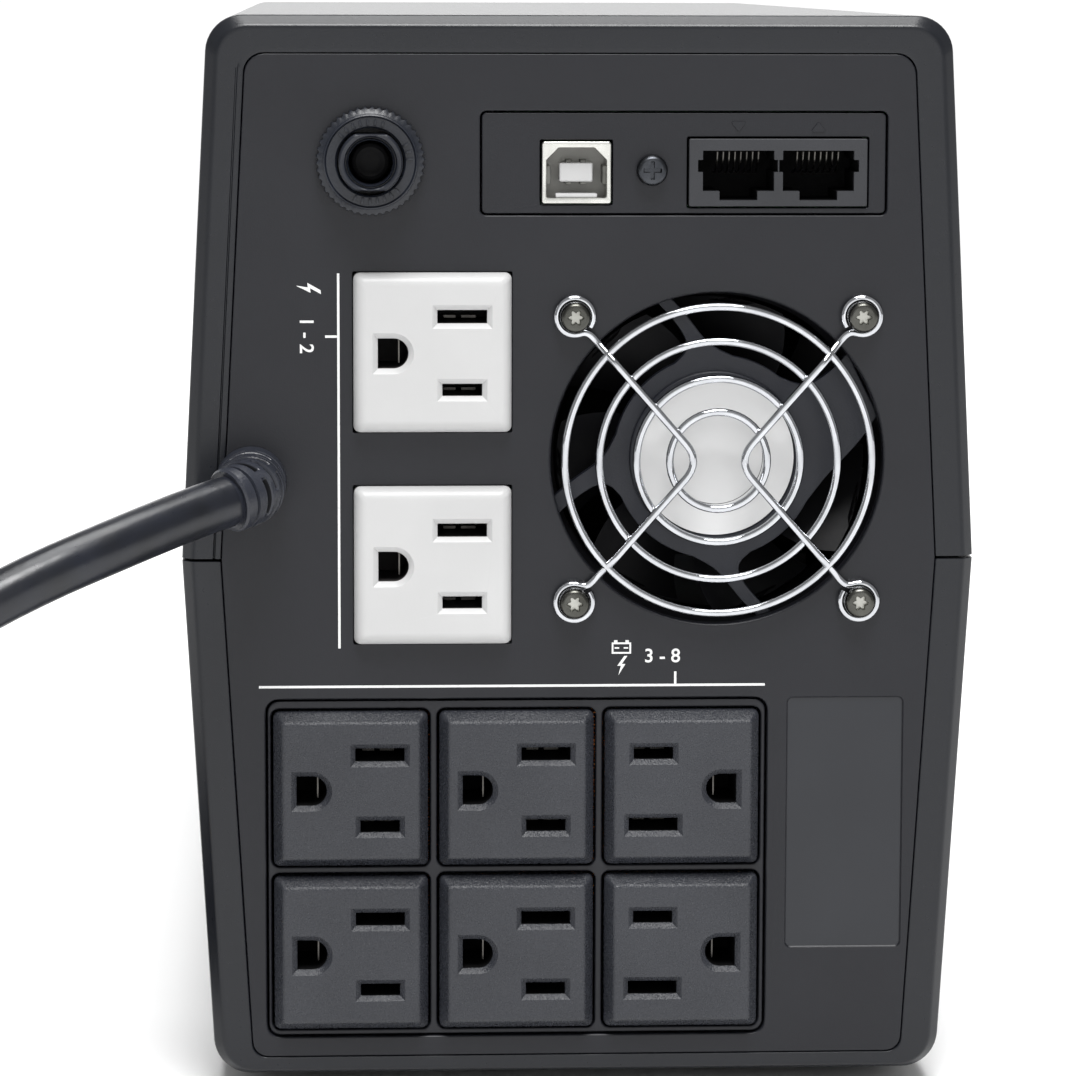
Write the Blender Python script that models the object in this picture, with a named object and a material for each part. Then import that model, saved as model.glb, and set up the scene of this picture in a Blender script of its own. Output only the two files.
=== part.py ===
"""A tower uninterruptible power supply.

Two moulded half shells hold a rear panel with eight sockets, a fan, a reset breaker and data ports. A front
bezel carries a display, two buttons and the battery cover. A power cord leaves the rear and lies coiled.

The rear panel faces -Y, the front bezel faces +Y, +X is to the right as the rear panel is looked at, and the
feet stand on z = 0. Lengths are in metres.
"""

import math

import bmesh
import bpy
from mathutils import Matrix, Vector

# Clearance that touching pieces keep.
GAP = 0.0003

# Case: a six-sided section that is widest at the seam between its two shells.
BODY_BOTTOM = 0.0032
BODY_TOP = 0.1896
SEAM_Z = 0.0953
SEAM_HALF_WIDTH = 0.0694
TOP_HALF_WIDTH = 0.0644
BOTTOM_HALF_WIDTH = 0.0641
CORNER_RADIUS = 0.0065
WALL = 0.0025
REAR_EDGE_CHAMFER = 0.0019
REAR_Y = -0.168
FRONT_Y = 0.158
BEZEL_DEPTH = 0.0165
BEZEL_CROWN = 0.0035
SEAM_GROOVE = 0.0006
VENT_COUNT = 9
VENT_FIRST_Y = 0.030
VENT_SPACING = 0.010
VENT_WIDTH = 0.004
VENT_X = (0.058, 0.075)
UPPER_VENT_Z = (0.118, 0.150)
LOWER_VENT_Z = (0.040, 0.072)
FOOT_PLACES = ((-0.046, -0.145), (0.046, -0.145), (-0.046, 0.135), (0.046, 0.135))
FOOT_BOTTOM_RADIUS = 0.0070
FOOT_TOP_RADIUS = 0.0078

# Rear panel, set into the rim of the shells.
PANEL_SIDE_INSET = 0.0068
PANEL_TOP = 0.1831
PANEL_BOTTOM = 0.0065
PANEL_THICKNESS = 0.0025
PANEL_TOP_RADIUS = 0.0035
PANEL_BOTTOM_RADIUS = 0.0027

# Sockets: the face, the bevel around it and the three holes of a grounded 15 A outlet.
OUTLET_WIDTH = 0.0271
OUTLET_HEIGHT = 0.0274
OUTLET_CORNER = 0.0011
OUTLET_BEVEL = 0.0017
OUTLET_PROUD = 0.0030
OUTLET_DEPTH = 0.020
BLADE_SPACING = 0.0127
BLADE_OFFSET = 0.0051
GROUND_OFFSET = 0.0068
NEUTRAL_SLOT = (0.0085, 0.0020)
LINE_SLOT = (0.0069, 0.0019)
GROUND_HOLE_RADIUS = 0.0026
GROUND_HOLE_FLAT = 0.0027
SOCKET_HOLE_DEPTH = 0.016
SURGE_OUTLETS = ((-0.0257, 0.1315), (-0.0257, 0.0943))
BACKUP_COLUMNS = (-0.0401, -0.0110, 0.0181)
BACKUP_ROWS = (0.0547, 0.0254)
BANK_CENTRE = (-0.0109, 0.0403)
BANK_SIZE = (0.0881, 0.0604)
BANK_RECESS = 0.0004

# Data ports.
IO_CENTRE = (0.0179, 0.1642)
IO_SIZE = (0.0707, 0.0180)
IO_THICKNESS = 0.0020
USB_CENTRE = (-0.0008, 0.1626)
USB_SIZE = (0.0120, 0.0107)
USB_WALL = 0.0006
USB_DEPTH = 0.0155
DATA_CENTRE = (0.0342, 0.1626)
DATA_SIZE = (0.0310, 0.0117)
DATA_PORTS_X = (0.0273, 0.0412)
DATA_PORT_TOP = 0.1664
DATA_PORT_STEPS = ((0.0062, 0.1594), (0.0033, 0.1578))
DATA_PORT_DEPTH = 0.0140
DATA_DEPTH = 0.0175
IO_SCREW = (0.0123, 0.1630)
IO_SCREW_LENGTH = 0.007
IO_RECESS = 0.0003
IO_BOARD_X = (-0.012, 0.053)
IO_BOARD_Z = (0.1555, 0.1730)
USB_TONGUE_SIZE = (0.0058, 0.0033)
USB_TONGUE_RECESS = 0.0012

# Breaker with its reset button.
BREAKER_CENTRE = (-0.0364, 0.1646)
BREAKER_NECK_RADIUS = 0.0055
BREAKER_BORE_RADIUS = 0.0038
BREAKER_REACH = 0.0080
BREAKER_BODY_RADIUS = 0.0105
BREAKER_BODY_DEPTH = 0.030
BREAKER_NUT_RADIUS = 0.0094
BREAKER_RING_RADIUS = 0.0082

# Fan: 60 mm, with screws on a 50 mm square and a wire finger guard.
FAN_CENTRE = (0.0240, 0.1127)
FAN_OPENING_RADIUS = 0.0291
FAN_SQUARE = 0.060
FAN_DEPTH = 0.0150
FAN_SCREW_SPACING = 0.050
FAN_PLATE_RADIUS = 0.0180
FAN_HUB_RADIUS = 0.0155
FAN_BLADES = 7
FAN_STRUT_ANGLES = (23.5, 109.0, 196.0, 286.5)
FAN_STRUT_HALF_WIDTH = 0.0016
FAN_STRUT_LEAN = 0.25
FAN_MOTOR_RADIUS = 0.0100
FAN_MOTOR_DEPTH = 0.0040
FAN_CUP_RADIUS = 0.0105
BLADE_ROOT_RADIUS = 0.0145
BLADE_TIP_RADIUS = 0.0274
BLADE_TURN = 44.0
BLADE_TIP_LEAD = 9.2
BLADE_THICKNESS = 3.2
BLADE_TIP_TAPER = 0.55
GUARD_RADII = (0.0268, 0.0208, 0.0143, 0.0085)
GUARD_WIRE_RADIUS = 0.0007
GUARD_BEND_X = 0.0031
GUARD_BEND_RADIUS = 0.0031
GUARD_STANDOFF = 0.0036
GUARD_SEGMENTS_PER_METRE = 1350
FAN_SCREW_LENGTH = 0.014
SCREW_HEAD_RADIUS = 0.0027
SCREW_SHANK_RADIUS = 0.0014

# Power cord: out of the strain relief, to the left and down to a coil on the floor. The route's points are in
# millimetres, with y counted from the rear face.
CORD_RADIUS = 0.0044
CORD_LEAD = 0.0100
RELIEF_ROOT = (-0.0572, 0.1090)
RELIEF_NECK_RADIUS = 0.0042
RELIEF_STRAIGHT = 0.0120
RELIEF_BEND_RADIUS = 0.0090
RELIEF_BEND_ANGLE = 52.0
RELIEF_TILT = 15.0
RELIEF_ROOT_RADIUS = 0.0062
RELIEF_TIP_RADIUS = 0.0055
CORD_ROUTE_MM = (
    (-80.0, -35.5, 102.3),
    (-92.0, -42.5, 97.8),
    (-104.0, -47.8, 92.0),
    (-116.5, -51.5, 84.2),
    (-128.5, -54.0, 73.8),
    (-139.5, -55.6, 61.0),
    (-149.5, -56.5, 47.0),
    (-160.0, -57.0, 33.6),
    (-171.5, -56.5, 22.3),
    (-184.0, -55.0, 13.5),
)
COIL_CENTRE = (-0.1825, 0.0079)
COIL_MID_RADIUS = 0.0528
COIL_HALF_WIDTH = 0.0147
COIL_BOTTOM = 0.0011
COIL_HEIGHT = 0.0178
TIE_ANGLE = 135.0
TIE_WIDTH = 0.012
TIE_THICKNESS = 0.0008
PLUG_LENGTH = 0.036
PLUG_WIDTH = 0.027
PLUG_HEIGHT = 0.022
PLUG_ENTRY = (-0.1317, 0.0060)
PLUG_NUB = 0.014
PLUG_BLADE_LENGTH = 0.0165
PLUG_BLADE_THICKNESS = 0.0015
PLUG_BLADE_HEIGHT = 0.00636
PLUG_BLADE_RAISED = 0.0030
PLUG_PIN_LOWERED = 0.0062
PLUG_PIN_RADIUS = 0.0023
PLUG_PIN_LENGTH = 0.0195

# Front: a display window, two buttons and the boards behind them.
WINDOW_CENTRE = (0.0, 0.158)
WINDOW_SIZE = (0.052, 0.034)
WINDOW_CORNER = 0.003
POWER_BUTTON = ((0.0, 0.116), 0.0085)
SELECT_BUTTON = ((-0.024, 0.116), 0.0052)
LCD_HALF_WIDTH = 0.023
LCD_Z = (0.1435, 0.1725)
LCD_DEPTH = 0.0085
DISPLAY_BOARD_HALF_WIDTH = 0.036
DISPLAY_BOARD_Z = (0.108, 0.180)

# Inside.
FLOOR_Z = BODY_BOTTOM + WALL + GAP
BATTERY_SIZE = (0.094, 0.150, 0.065)
BATTERY_REAR_Y = 0.003
SHELF_HALF_WIDTH = 0.053
SHELF_TOP = 0.1440
SHELF_THICKNESS = 0.0020
SHELF_Y = (-0.138, -0.004)
CORE_HALF_WIDTH = 0.048
CORE_Y = (-0.094, -0.046)
CORE_HEIGHT = 0.080
CORE_WINDOW_X = (0.016, 0.032)
CORE_WINDOW_Z = (0.022, 0.070)
WINDING_Y = (-0.120, -0.020)
BOARD_THICKNESS = 0.0016
MAIN_BOARD_HALF_WIDTH = 0.050
MAIN_BOARD_Y = (-0.134, -0.008)
SINK_X = (-0.044, 0.004)
SINK_Y = (-0.080, -0.030)
SINK_BASE = 0.004
SINK_HEIGHT = 0.028
SINK_FINS = 7
SINK_FIN_SPACING = 0.0075
SINK_FIN_THICKNESS = 0.0014
CAPACITOR_PLACES = ((0.020, -0.045), (0.040, -0.045))
CAPACITOR_RADIUS = 0.009
CAPACITOR_HEIGHT = 0.030
RELAY_X = (0.016, 0.038)
RELAY_Y = (-0.100, -0.072)
RELAY_SIZE = (0.018, 0.018)

for leftover in list(bpy.data.objects):
    bpy.data.objects.remove(leftover, do_unlink=True)


def material(name, colour, roughness, metallic=0.0):
    """A Principled material of one colour, given as sRGB from 0 to 255."""
    made = bpy.data.materials.new(name)
    made.use_nodes = True
    shader = made.node_tree.nodes["Principled BSDF"]
    linear = [(value / 255) ** 2.2 for value in colour]
    shader.inputs["Base Color"].default_value = (*linear, 1.0)
    shader.inputs["Roughness"].default_value = roughness
    shader.inputs["Metallic"].default_value = metallic
    return made


CASE_PLASTIC = material("case_plastic", (58, 59, 63), 0.45)
PANEL_PLASTIC = material("panel_plastic", (52, 53, 57), 0.50)
WHITE_PLASTIC = material("white_plastic", (226, 226, 226), 0.40)
SOCKET_PLASTIC = material("socket_plastic", (72, 73, 77), 0.60)
BLACK_PLASTIC = material("black_plastic", (24, 26, 30), 0.40)
CORD_JACKET = material("cord_jacket", (30, 33, 40), 0.35)
FOOT_RUBBER = material("foot_rubber", (22, 22, 24), 0.80)
CHROME_WIRE = material("chrome_wire", (205, 208, 212), 0.12, 1.0)
NICKEL_PLATE = material("nickel_plate", (190, 190, 186), 0.28, 1.0)
BRASS_BLADE = material("brass_blade", (196, 166, 96), 0.25, 1.0)
CORE_STEEL = material("core_steel", (96, 98, 100), 0.50, 1.0)
HEAT_ALUMINIUM = material("heat_aluminium", (176, 178, 180), 0.40, 1.0)
WINDING_COPPER = material("winding_copper", (170, 96, 48), 0.40, 1.0)
BOARD_LAMINATE = material("board_laminate", (24, 84, 48), 0.50)
WINDOW_GLASS = material("window_glass", (18, 20, 24), 0.08)


def finish(name, mesh_data, look, place=(0.0, 0.0, 0.0)):
    """An object of a bmesh, with its normals outward, whose origin is at place."""
    bmesh.ops.recalc_face_normals(mesh_data, faces=mesh_data.faces[:])
    mesh = bpy.data.meshes.new(name)
    mesh_data.to_mesh(mesh)
    mesh_data.free()
    mesh.materials.append(look)
    made = bpy.data.objects.new(name, mesh)
    made.location = place
    bpy.context.scene.collection.objects.link(made)
    return made


def smooth(made, angle=35.0):
    """Shades a round piece smooth, with its real edges kept sharp."""
    made.data.shade_smooth()
    made.data.set_sharp_from_angle(angle=math.radians(angle))
    return made


def skin(rings):
    """A closed bmesh over rings of points, each ring with as many points as the next, and capped ends."""
    shape = bmesh.new()
    rows = [[shape.verts.new(point) for point in ring] for ring in rings]
    count = len(rows[0])
    for near, far in zip(rows[:-1], rows[1:]):
        for i in range(count):
            j = (i + 1) % count
            shape.faces.new((near[i], near[j], far[j], far[i]))
    shape.faces.new(rows[0])
    shape.faces.new(rows[-1][::-1])
    return shape


def closed_skin(rings):
    """A closed bmesh over rings of points that come round to the first ring again."""
    shape = bmesh.new()
    rows = [[shape.verts.new(point) for point in ring] for ring in rings]
    count = len(rows[0])
    for near, far in zip(rows, rows[1:] + rows[:1]):
        for i in range(count):
            j = (i + 1) % count
            shape.faces.new((near[i], near[j], far[j], far[i]))
    return shape


def boxes(*corners):
    """A bmesh of separate boxes, each given by its lowest and highest corner."""
    shape = bmesh.new()
    for low, high in corners:
        low, high = Vector(low), Vector(high)
        middle = Matrix.Translation((low + high) / 2)
        size = Matrix.Diagonal((*(high - low), 1.0))
        bmesh.ops.create_cube(shape, size=1.0, matrix=middle @ size)
    return shape


def rounded(corners, radii, steps=4, closed=True):
    """The points of an outline with its corners rounded to arcs; an open outline keeps its two end points."""
    corners = [Vector(corner) for corner in corners]
    count = len(corners)
    points = []
    for i, corner in enumerate(corners):
        at_end = not closed and i in (0, count - 1)
        if at_end or radii[i] == 0:
            points.append(corner)
            continue
        before = (corners[i - 1] - corner).normalized()
        after = (corners[(i + 1) % count] - corner).normalized()
        half_angle = before.angle(after) / 2
        centre = corner + (before + after).normalized() * radii[i] / math.sin(half_angle)
        reach = radii[i] / math.tan(half_angle)
        first = corner + before * reach - centre
        last = corner + after * reach - centre
        sweep = first.angle(last)
        for k in range(steps + 1):
            part = k / steps
            mixed = first * math.sin((1 - part) * sweep) + last * math.sin(part * sweep)
            points.append(centre + mixed / math.sin(sweep))
    return points


def rectangle(centre, size, radius=0.0, inset=0.0, steps=3):
    """A rectangle's outline in X and Z."""
    x, z = centre
    half_x = size[0] / 2 - inset
    half_z = size[1] / 2 - inset
    signs = ((-1, -1), (1, -1), (1, 1), (-1, 1))
    corners = [(x + sx * half_x, z + sz * half_z) for sx, sz in signs]
    return rounded(corners, [max(radius, 0.0)] * 4, steps)


def at_depth(outline, y):
    """An outline in X and Z, placed at a depth y."""
    return [(point[0], y, point[1]) for point in outline]


def circle(centre, radius, y, segments=32):
    """A ring of points in X and Z around centre."""
    turns = [2 * math.pi * k / segments for k in range(segments)]
    return [(centre[0] + radius * math.cos(t), y, centre[1] + radius * math.sin(t)) for t in turns]


def turned(centre, profile, segments=32):
    """A solid turned about an axis along Y, from a profile of (radius, y)."""
    return skin([circle(centre, radius, y, segments) for radius, y in profile])


def prism(outline, rear, front):
    """An outline in X and Z extruded along Y."""
    return skin([at_depth(outline, rear), at_depth(outline, front)])


def guide(name, mesh_data):
    """A cutter or a part of a union, which isn't itself a piece of the object."""
    made = finish(name, mesh_data, CASE_PLASTIC)
    made.hide_render = True
    made.display_type = "WIRE"
    return made


def boolean(target, other, operation="DIFFERENCE"):
    """Cuts other from target, or joins it to target, with an exact Boolean that stays on the object."""
    step = target.modifiers.new(other.name, "BOOLEAN")
    step.object = other
    step.operation = operation
    step.solver = "EXACT"
    return target


# Case ------------------------------------------------------------------------------------------------


def side_at(z, inset=0.0):
    """Half the case's width at a height, less an inset."""
    if z >= SEAM_Z:
        part = (z - SEAM_Z) / (BODY_TOP - SEAM_Z)
        return SEAM_HALF_WIDTH + (TOP_HALF_WIDTH - SEAM_HALF_WIDTH) * part - inset
    part = (SEAM_Z - z) / (SEAM_Z - BODY_BOTTOM)
    return SEAM_HALF_WIDTH + (BOTTOM_HALF_WIDTH - SEAM_HALF_WIDTH) * part - inset


def half_section(seam_z, end_z, inset, radius, closed=False, seam_radius=0.0):
    """One shell's section from the seam on the left over its far end to the seam on the right."""
    seam_x = side_at(seam_z, inset)
    end_x = side_at(end_z, inset)
    corners = [(-seam_x, seam_z), (-end_x, end_z), (end_x, end_z), (seam_x, seam_z)]
    radii = [seam_radius, radius, radius, seam_radius]
    return rounded(corners, radii, steps=5, closed=closed)


def shell(name, seam_z, end_z, panel_end, panel_radius):
    """A half shell: an outer wall with an open front and a rim around the rear panel."""
    inward = 1.0 if end_z < seam_z else -1.0
    inner_end = end_z + inward * WALL
    chamfer_end = end_z + inward * REAR_EDGE_CHAMFER
    rim_y = REAR_Y + WALL
    sections = [
        at_depth(half_section(seam_z, chamfer_end, REAR_EDGE_CHAMFER, CORNER_RADIUS), REAR_Y),
        at_depth(half_section(seam_z, end_z, 0.0, CORNER_RADIUS), REAR_Y + REAR_EDGE_CHAMFER),
        at_depth(half_section(seam_z, end_z, 0.0, CORNER_RADIUS), FRONT_Y),
        at_depth(half_section(seam_z, inner_end, WALL, CORNER_RADIUS - WALL), FRONT_Y),
        at_depth(half_section(seam_z, inner_end, WALL, CORNER_RADIUS - WALL), rim_y),
        at_depth(half_section(seam_z, panel_end, PANEL_SIDE_INSET, panel_radius), rim_y),
        at_depth(half_section(seam_z, panel_end, PANEL_SIDE_INSET, panel_radius), REAR_Y),
    ]
    shape = bmesh.new()
    rows = [[shape.verts.new(point) for point in section] for section in sections]
    for near, far in zip(rows, rows[1:] + rows[:1]):
        for j in range(len(near) - 1):
            shape.faces.new((near[j], near[j + 1], far[j + 1], far[j]))
    shape.faces.new([row[0] for row in rows])
    shape.faces.new([row[-1] for row in reversed(rows)])
    return finish(name, shape, CASE_PLASTIC)


def side_vents(name, low_z, high_z):
    """Upright vent slots through both side walls, near the front."""
    slots = []
    for side in (-1, 1):
        near_x, far_x = sorted(side * x for x in VENT_X)
        for k in range(VENT_COUNT):
            y = VENT_FIRST_Y + VENT_SPACING * k
            slots.append(((near_x, y, low_z), (far_x, y + VENT_WIDTH, high_z)))
    return guide(name, boxes(*slots))


def bezel_half(name, seam_z, end_z):
    """Half of the front bezel: a crowned tray that closes the shells' open front."""
    inward = 1.0 if end_z < seam_z else -1.0

    def loop(inset, y):
        seam = seam_z - inward * inset
        end = end_z + inward * inset
        radius = CORNER_RADIUS - inset * 0.6
        return at_depth(half_section(seam, end, inset, radius, closed=True, seam_radius=0.0008), y)

    rear = FRONT_Y + GAP
    front = rear + BEZEL_DEPTH
    loops = [
        loop(BEZEL_CROWN, front),
        loop(0.0012, front - 0.0020),
        loop(0.0, front - 0.0050),
        loop(0.0, rear),
        loop(WALL, rear),
        loop(WALL, front - 0.0060),
        loop(WALL + 0.0014, front - WALL),
    ]
    return finish(name, skin(loops), CASE_PLASTIC)


def make_case():
    upper_seam = SEAM_Z + SEAM_GROOVE / 2
    lower_seam = SEAM_Z - SEAM_GROOVE / 2
    upper = shell("upper_shell", upper_seam, BODY_TOP, PANEL_TOP, PANEL_TOP_RADIUS)
    lower = shell("lower_shell", lower_seam, BODY_BOTTOM, PANEL_BOTTOM, PANEL_BOTTOM_RADIUS)
    boolean(upper, side_vents("upper_vent_cutter", *UPPER_VENT_Z))
    boolean(lower, side_vents("lower_vent_cutter", *LOWER_VENT_Z))
    for index, (x, y) in enumerate(FOOT_PLACES, 1):
        foot = bmesh.new()
        height = BODY_BOTTOM - GAP
        bmesh.ops.create_cone(
            foot,
            cap_ends=True,
            segments=24,
            radius1=FOOT_BOTTOM_RADIUS,
            radius2=FOOT_TOP_RADIUS,
            depth=height,
            matrix=Matrix.Translation((0.0, 0.0, height / 2)),
        )
        smooth(finish(f"foot_{index}", foot, FOOT_RUBBER, (x, y, 0.0)))


# Rear panel ------------------------------------------------------------------------------------------


def panel_outline(gap):
    """The rear panel's six-sided outline, a gap inside the shells' rim."""
    inset = PANEL_SIDE_INSET + gap
    top, bottom = PANEL_TOP - gap, PANEL_BOTTOM + gap
    corners = [
        (-side_at(bottom, inset), bottom),
        (side_at(bottom, inset), bottom),
        (side_at(SEAM_Z, inset), SEAM_Z),
        (side_at(top, inset), top),
        (-side_at(top, inset), top),
        (-side_at(SEAM_Z, inset), SEAM_Z),
    ]
    lower, upper = PANEL_BOTTOM_RADIUS, PANEL_TOP_RADIUS
    return rounded(corners, [lower, lower, 0.0, upper, upper, 0.0])


def corner_screws():
    """The fan screws' places."""
    half = FAN_SCREW_SPACING / 2
    return [(FAN_CENTRE[0] + sx * half, FAN_CENTRE[1] + sz * half) for sz in (1, -1) for sx in (-1, 1)]


def joined(*parts):
    """One bmesh that holds several, each a separate closed body."""
    whole = bmesh.new()
    for part in parts:
        mesh = bpy.data.meshes.new("piece")
        part.to_mesh(mesh)
        part.free()
        whole.from_mesh(mesh)
        bpy.data.meshes.remove(mesh)
    return whole


def make_rear_panel():
    panel = finish("rear_panel", prism(panel_outline(GAP), REAR_Y, REAR_Y + PANEL_THICKNESS), PANEL_PLASTIC)
    rear, front = REAR_Y - 0.005, REAR_Y + 0.010
    square_holes = [(BANK_CENTRE, BANK_SIZE), (IO_CENTRE, IO_SIZE)]
    square_holes += [(centre, (OUTLET_WIDTH, OUTLET_HEIGHT)) for centre in SURGE_OUTLETS]
    round_holes = [(FAN_CENTRE, FAN_OPENING_RADIUS, 48)]
    round_holes.append((BREAKER_CENTRE, BREAKER_NECK_RADIUS + GAP, 24))
    round_holes.append((RELIEF_ROOT, RELIEF_NECK_RADIUS + GAP, 24))
    round_holes += [(place, SCREW_SHANK_RADIUS + GAP, 16) for place in corner_screws()]
    cuts = [prism(rectangle(c, s, OUTLET_CORNER + GAP, -GAP), rear, front) for c, s in square_holes]
    cuts += [turned(c, [(r, rear), (r, front)], n) for c, r, n in round_holes]
    boolean(panel, guide("panel_cutter", joined(*cuts)))


def ground_outline(centre, facing):
    """A D-shaped ground hole whose round side faces the blade slots."""
    steps = 10
    arc = [math.pi * (k / steps - 0.5) for k in range(steps + 1)]
    x, z = centre
    radius = GROUND_HOLE_RADIUS
    round_side = [(x + facing * radius * math.cos(t), z + radius * math.sin(t)) for t in arc]
    flat_x = x - facing * GROUND_HOLE_FLAT
    corners = [(flat_x, z + radius), (flat_x, z - radius)]
    return round_side + corners


def outlet(name, centre, look, turned_over=False):
    """A grounded socket: a bevelled face that stands proud of the panel, with its body behind."""
    facing = -1 if turned_over else 1
    size = (OUTLET_WIDTH, OUTLET_HEIGHT)
    loops = [
        at_depth(rectangle(centre, size, OUTLET_CORNER - GAP, OUTLET_BEVEL), REAR_Y - OUTLET_PROUD),
        at_depth(rectangle(centre, size, OUTLET_CORNER, 0.0), REAR_Y - 0.0006),
        at_depth(rectangle(centre, size, OUTLET_CORNER, 0.0), REAR_Y + OUTLET_DEPTH),
    ]
    body = finish(name, skin(loops), look)
    blades_x = centre[0] + facing * BLADE_OFFSET
    half = BLADE_SPACING / 2
    neutral = rectangle((blades_x, centre[1] + facing * half), NEUTRAL_SLOT)
    line = rectangle((blades_x, centre[1] - facing * half), LINE_SLOT)
    ground = ground_outline((centre[0] - facing * GROUND_OFFSET, centre[1]), facing)
    face_y = REAR_Y - OUTLET_PROUD
    cuts = [prism(hole, face_y - 0.002, face_y + SOCKET_HOLE_DEPTH) for hole in (neutral, line, ground)]
    boolean(body, guide(f"{name}_cutter", joined(*cuts)))


def make_outlets():
    for index, centre in enumerate(SURGE_OUTLETS, 1):
        outlet(f"surge_outlet_{index}", centre, WHITE_PLASTIC)
    places = [(x, z) for z in BACKUP_ROWS for x in BACKUP_COLUMNS]
    for index, centre in enumerate(places, 1):
        outlet(f"backup_outlet_{index}", centre, SOCKET_PLASTIC, turned_over=centre[0] == BACKUP_COLUMNS[-1])
    bank_outline = rectangle(BANK_CENTRE, BANK_SIZE, OUTLET_CORNER)
    bank_plate = prism(bank_outline, REAR_Y + BANK_RECESS, REAR_Y + PANEL_THICKNESS)
    bank = finish("outlet_bank_frame", bank_plate, SOCKET_PLASTIC)
    size = (OUTLET_WIDTH, OUTLET_HEIGHT)
    rear, front = REAR_Y - 0.005, REAR_Y + 0.010
    cuts = [prism(rectangle(centre, size, OUTLET_CORNER + GAP, -GAP), rear, front) for centre in places]
    boolean(bank, guide("bank_cutter", joined(*cuts)))


def cut_ports(target):
    """Two stepped cavities for the data plugs."""
    top = DATA_PORT_TOP
    cuts = []
    for x in DATA_PORTS_X:
        (wide, shoulder), (narrow, foot) = DATA_PORT_STEPS
        outline = [(x - wide, top), (x - wide, shoulder), (x - narrow, shoulder), (x - narrow, foot),
                   (x + narrow, foot), (x + narrow, shoulder), (x + wide, shoulder), (x + wide, top)]
        cuts.append(prism(outline, REAR_Y - 0.003, REAR_Y + DATA_PORT_DEPTH))
    boolean(target, guide("data_port_cutter", joined(*cuts)))


def make_data_ports():
    plate_y = REAR_Y + IO_RECESS
    plate_outline = rectangle(IO_CENTRE, IO_SIZE, OUTLET_CORNER, 0.0)
    plate = finish("io_plate", prism(plate_outline, plate_y, plate_y + IO_THICKNESS), PANEL_PLASTIC)
    rear, front = REAR_Y - 0.003, REAR_Y + 0.006
    ports = ((USB_CENTRE, USB_SIZE), (DATA_CENTRE, DATA_SIZE))
    cuts = [prism(rectangle(centre, size, 0.0, -GAP), rear, front) for centre, size in ports]
    cuts.append(turned(IO_SCREW, [(SCREW_SHANK_RADIUS + GAP, rear), (SCREW_SHANK_RADIUS + GAP, front)], 16))
    boolean(plate, guide("io_cutter", joined(*cuts)))

    usb_rear, usb_front = REAR_Y - 0.0006, REAR_Y + USB_DEPTH
    usb = finish("usb_shell", prism(rectangle(USB_CENTRE, USB_SIZE), usb_rear, usb_front), NICKEL_PLATE)
    hollow = prism(rectangle(USB_CENTRE, USB_SIZE, 0.0, USB_WALL), usb_rear - 0.002, usb_front - USB_WALL)
    boolean(usb, guide("usb_cutter", hollow))
    tongue_outline = rectangle(USB_CENTRE, USB_TONGUE_SIZE)
    tongue = prism(tongue_outline, REAR_Y + USB_TONGUE_RECESS, usb_front - USB_WALL - GAP)
    finish("usb_tongue", tongue, WHITE_PLASTIC)

    block = prism(rectangle(DATA_CENTRE, DATA_SIZE), REAR_Y - 0.0004, REAR_Y + DATA_DEPTH)
    jack = finish("data_jack", block, BLACK_PLASTIC)
    cut_ports(jack)
    screw("io_screw", IO_SCREW, plate_y - GAP, IO_SCREW_LENGTH)
    board_y = REAR_Y + DATA_DEPTH + GAP
    (low_x, high_x), (low_z, high_z) = IO_BOARD_X, IO_BOARD_Z
    board = ((low_x, board_y, low_z), (high_x, board_y + BOARD_THICKNESS, high_z))
    finish("io_board", boxes(board), BOARD_LAMINATE)


def screw(name, centre, seat_y, length):
    """A pan head screw whose head sits on seat_y and whose shank runs forward."""
    head = SCREW_HEAD_RADIUS
    profile = [
        (head * 0.55, seat_y - 0.0019),
        (head * 0.88, seat_y - 0.0014),
        (head, seat_y - 0.0006),
        (head, seat_y),
        (SCREW_SHANK_RADIUS, seat_y),
        (SCREW_SHANK_RADIUS, seat_y + length),
    ]
    smooth(finish(name, turned(centre, profile, 14), NICKEL_PLATE))


def make_breaker():
    """The breaker's body and threaded neck, the nut that holds it and the button that pops out of it."""
    rim = REAR_Y - BREAKER_REACH
    behind = REAR_Y + PANEL_THICKNESS + GAP
    bore_end = REAR_Y + 0.012
    profile = [
        (BREAKER_BORE_RADIUS, bore_end),
        (BREAKER_BORE_RADIUS, rim + 0.0008),
        (BREAKER_BORE_RADIUS + 0.0006, rim),
        (BREAKER_NECK_RADIUS - 0.0004, rim),
        (BREAKER_NECK_RADIUS, rim + 0.0004),
        (BREAKER_NECK_RADIUS, behind),
        (BREAKER_BODY_RADIUS, behind),
        (BREAKER_BODY_RADIUS, REAR_Y + BREAKER_BODY_DEPTH),
    ]
    smooth(finish("breaker_body", turned(BREAKER_CENTRE, profile, 24), BLACK_PLASTIC))

    hole = BREAKER_NECK_RADIUS + GAP
    seat = REAR_Y - GAP
    nut_profile = [
        (hole, seat),
        (BREAKER_NUT_RADIUS, seat),
        (BREAKER_NUT_RADIUS, seat - 0.0022),
        (BREAKER_RING_RADIUS, seat - 0.0026),
        (BREAKER_RING_RADIUS - 0.0006, seat - 0.0042),
        (hole, seat - 0.0042),
    ]
    rings = [circle(BREAKER_CENTRE, radius, y, 28) for radius, y in nut_profile]
    smooth(finish("breaker_nut", closed_skin(rings), BLACK_PLASTIC))

    button_radius = BREAKER_BORE_RADIUS - GAP
    button_top = 0.0045 - BREAKER_REACH
    button_profile = [
        (button_radius * 0.75, button_top),
        (button_radius, button_top + 0.0009),
        (button_radius, 0.0115),
    ]
    place = (BREAKER_CENTRE[0], REAR_Y, BREAKER_CENTRE[1])
    smooth(finish("breaker_button", turned((0.0, 0.0), button_profile, 24), BLACK_PLASTIC, place))


# Fan -------------------------------------------------------------------------------------------------


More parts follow.
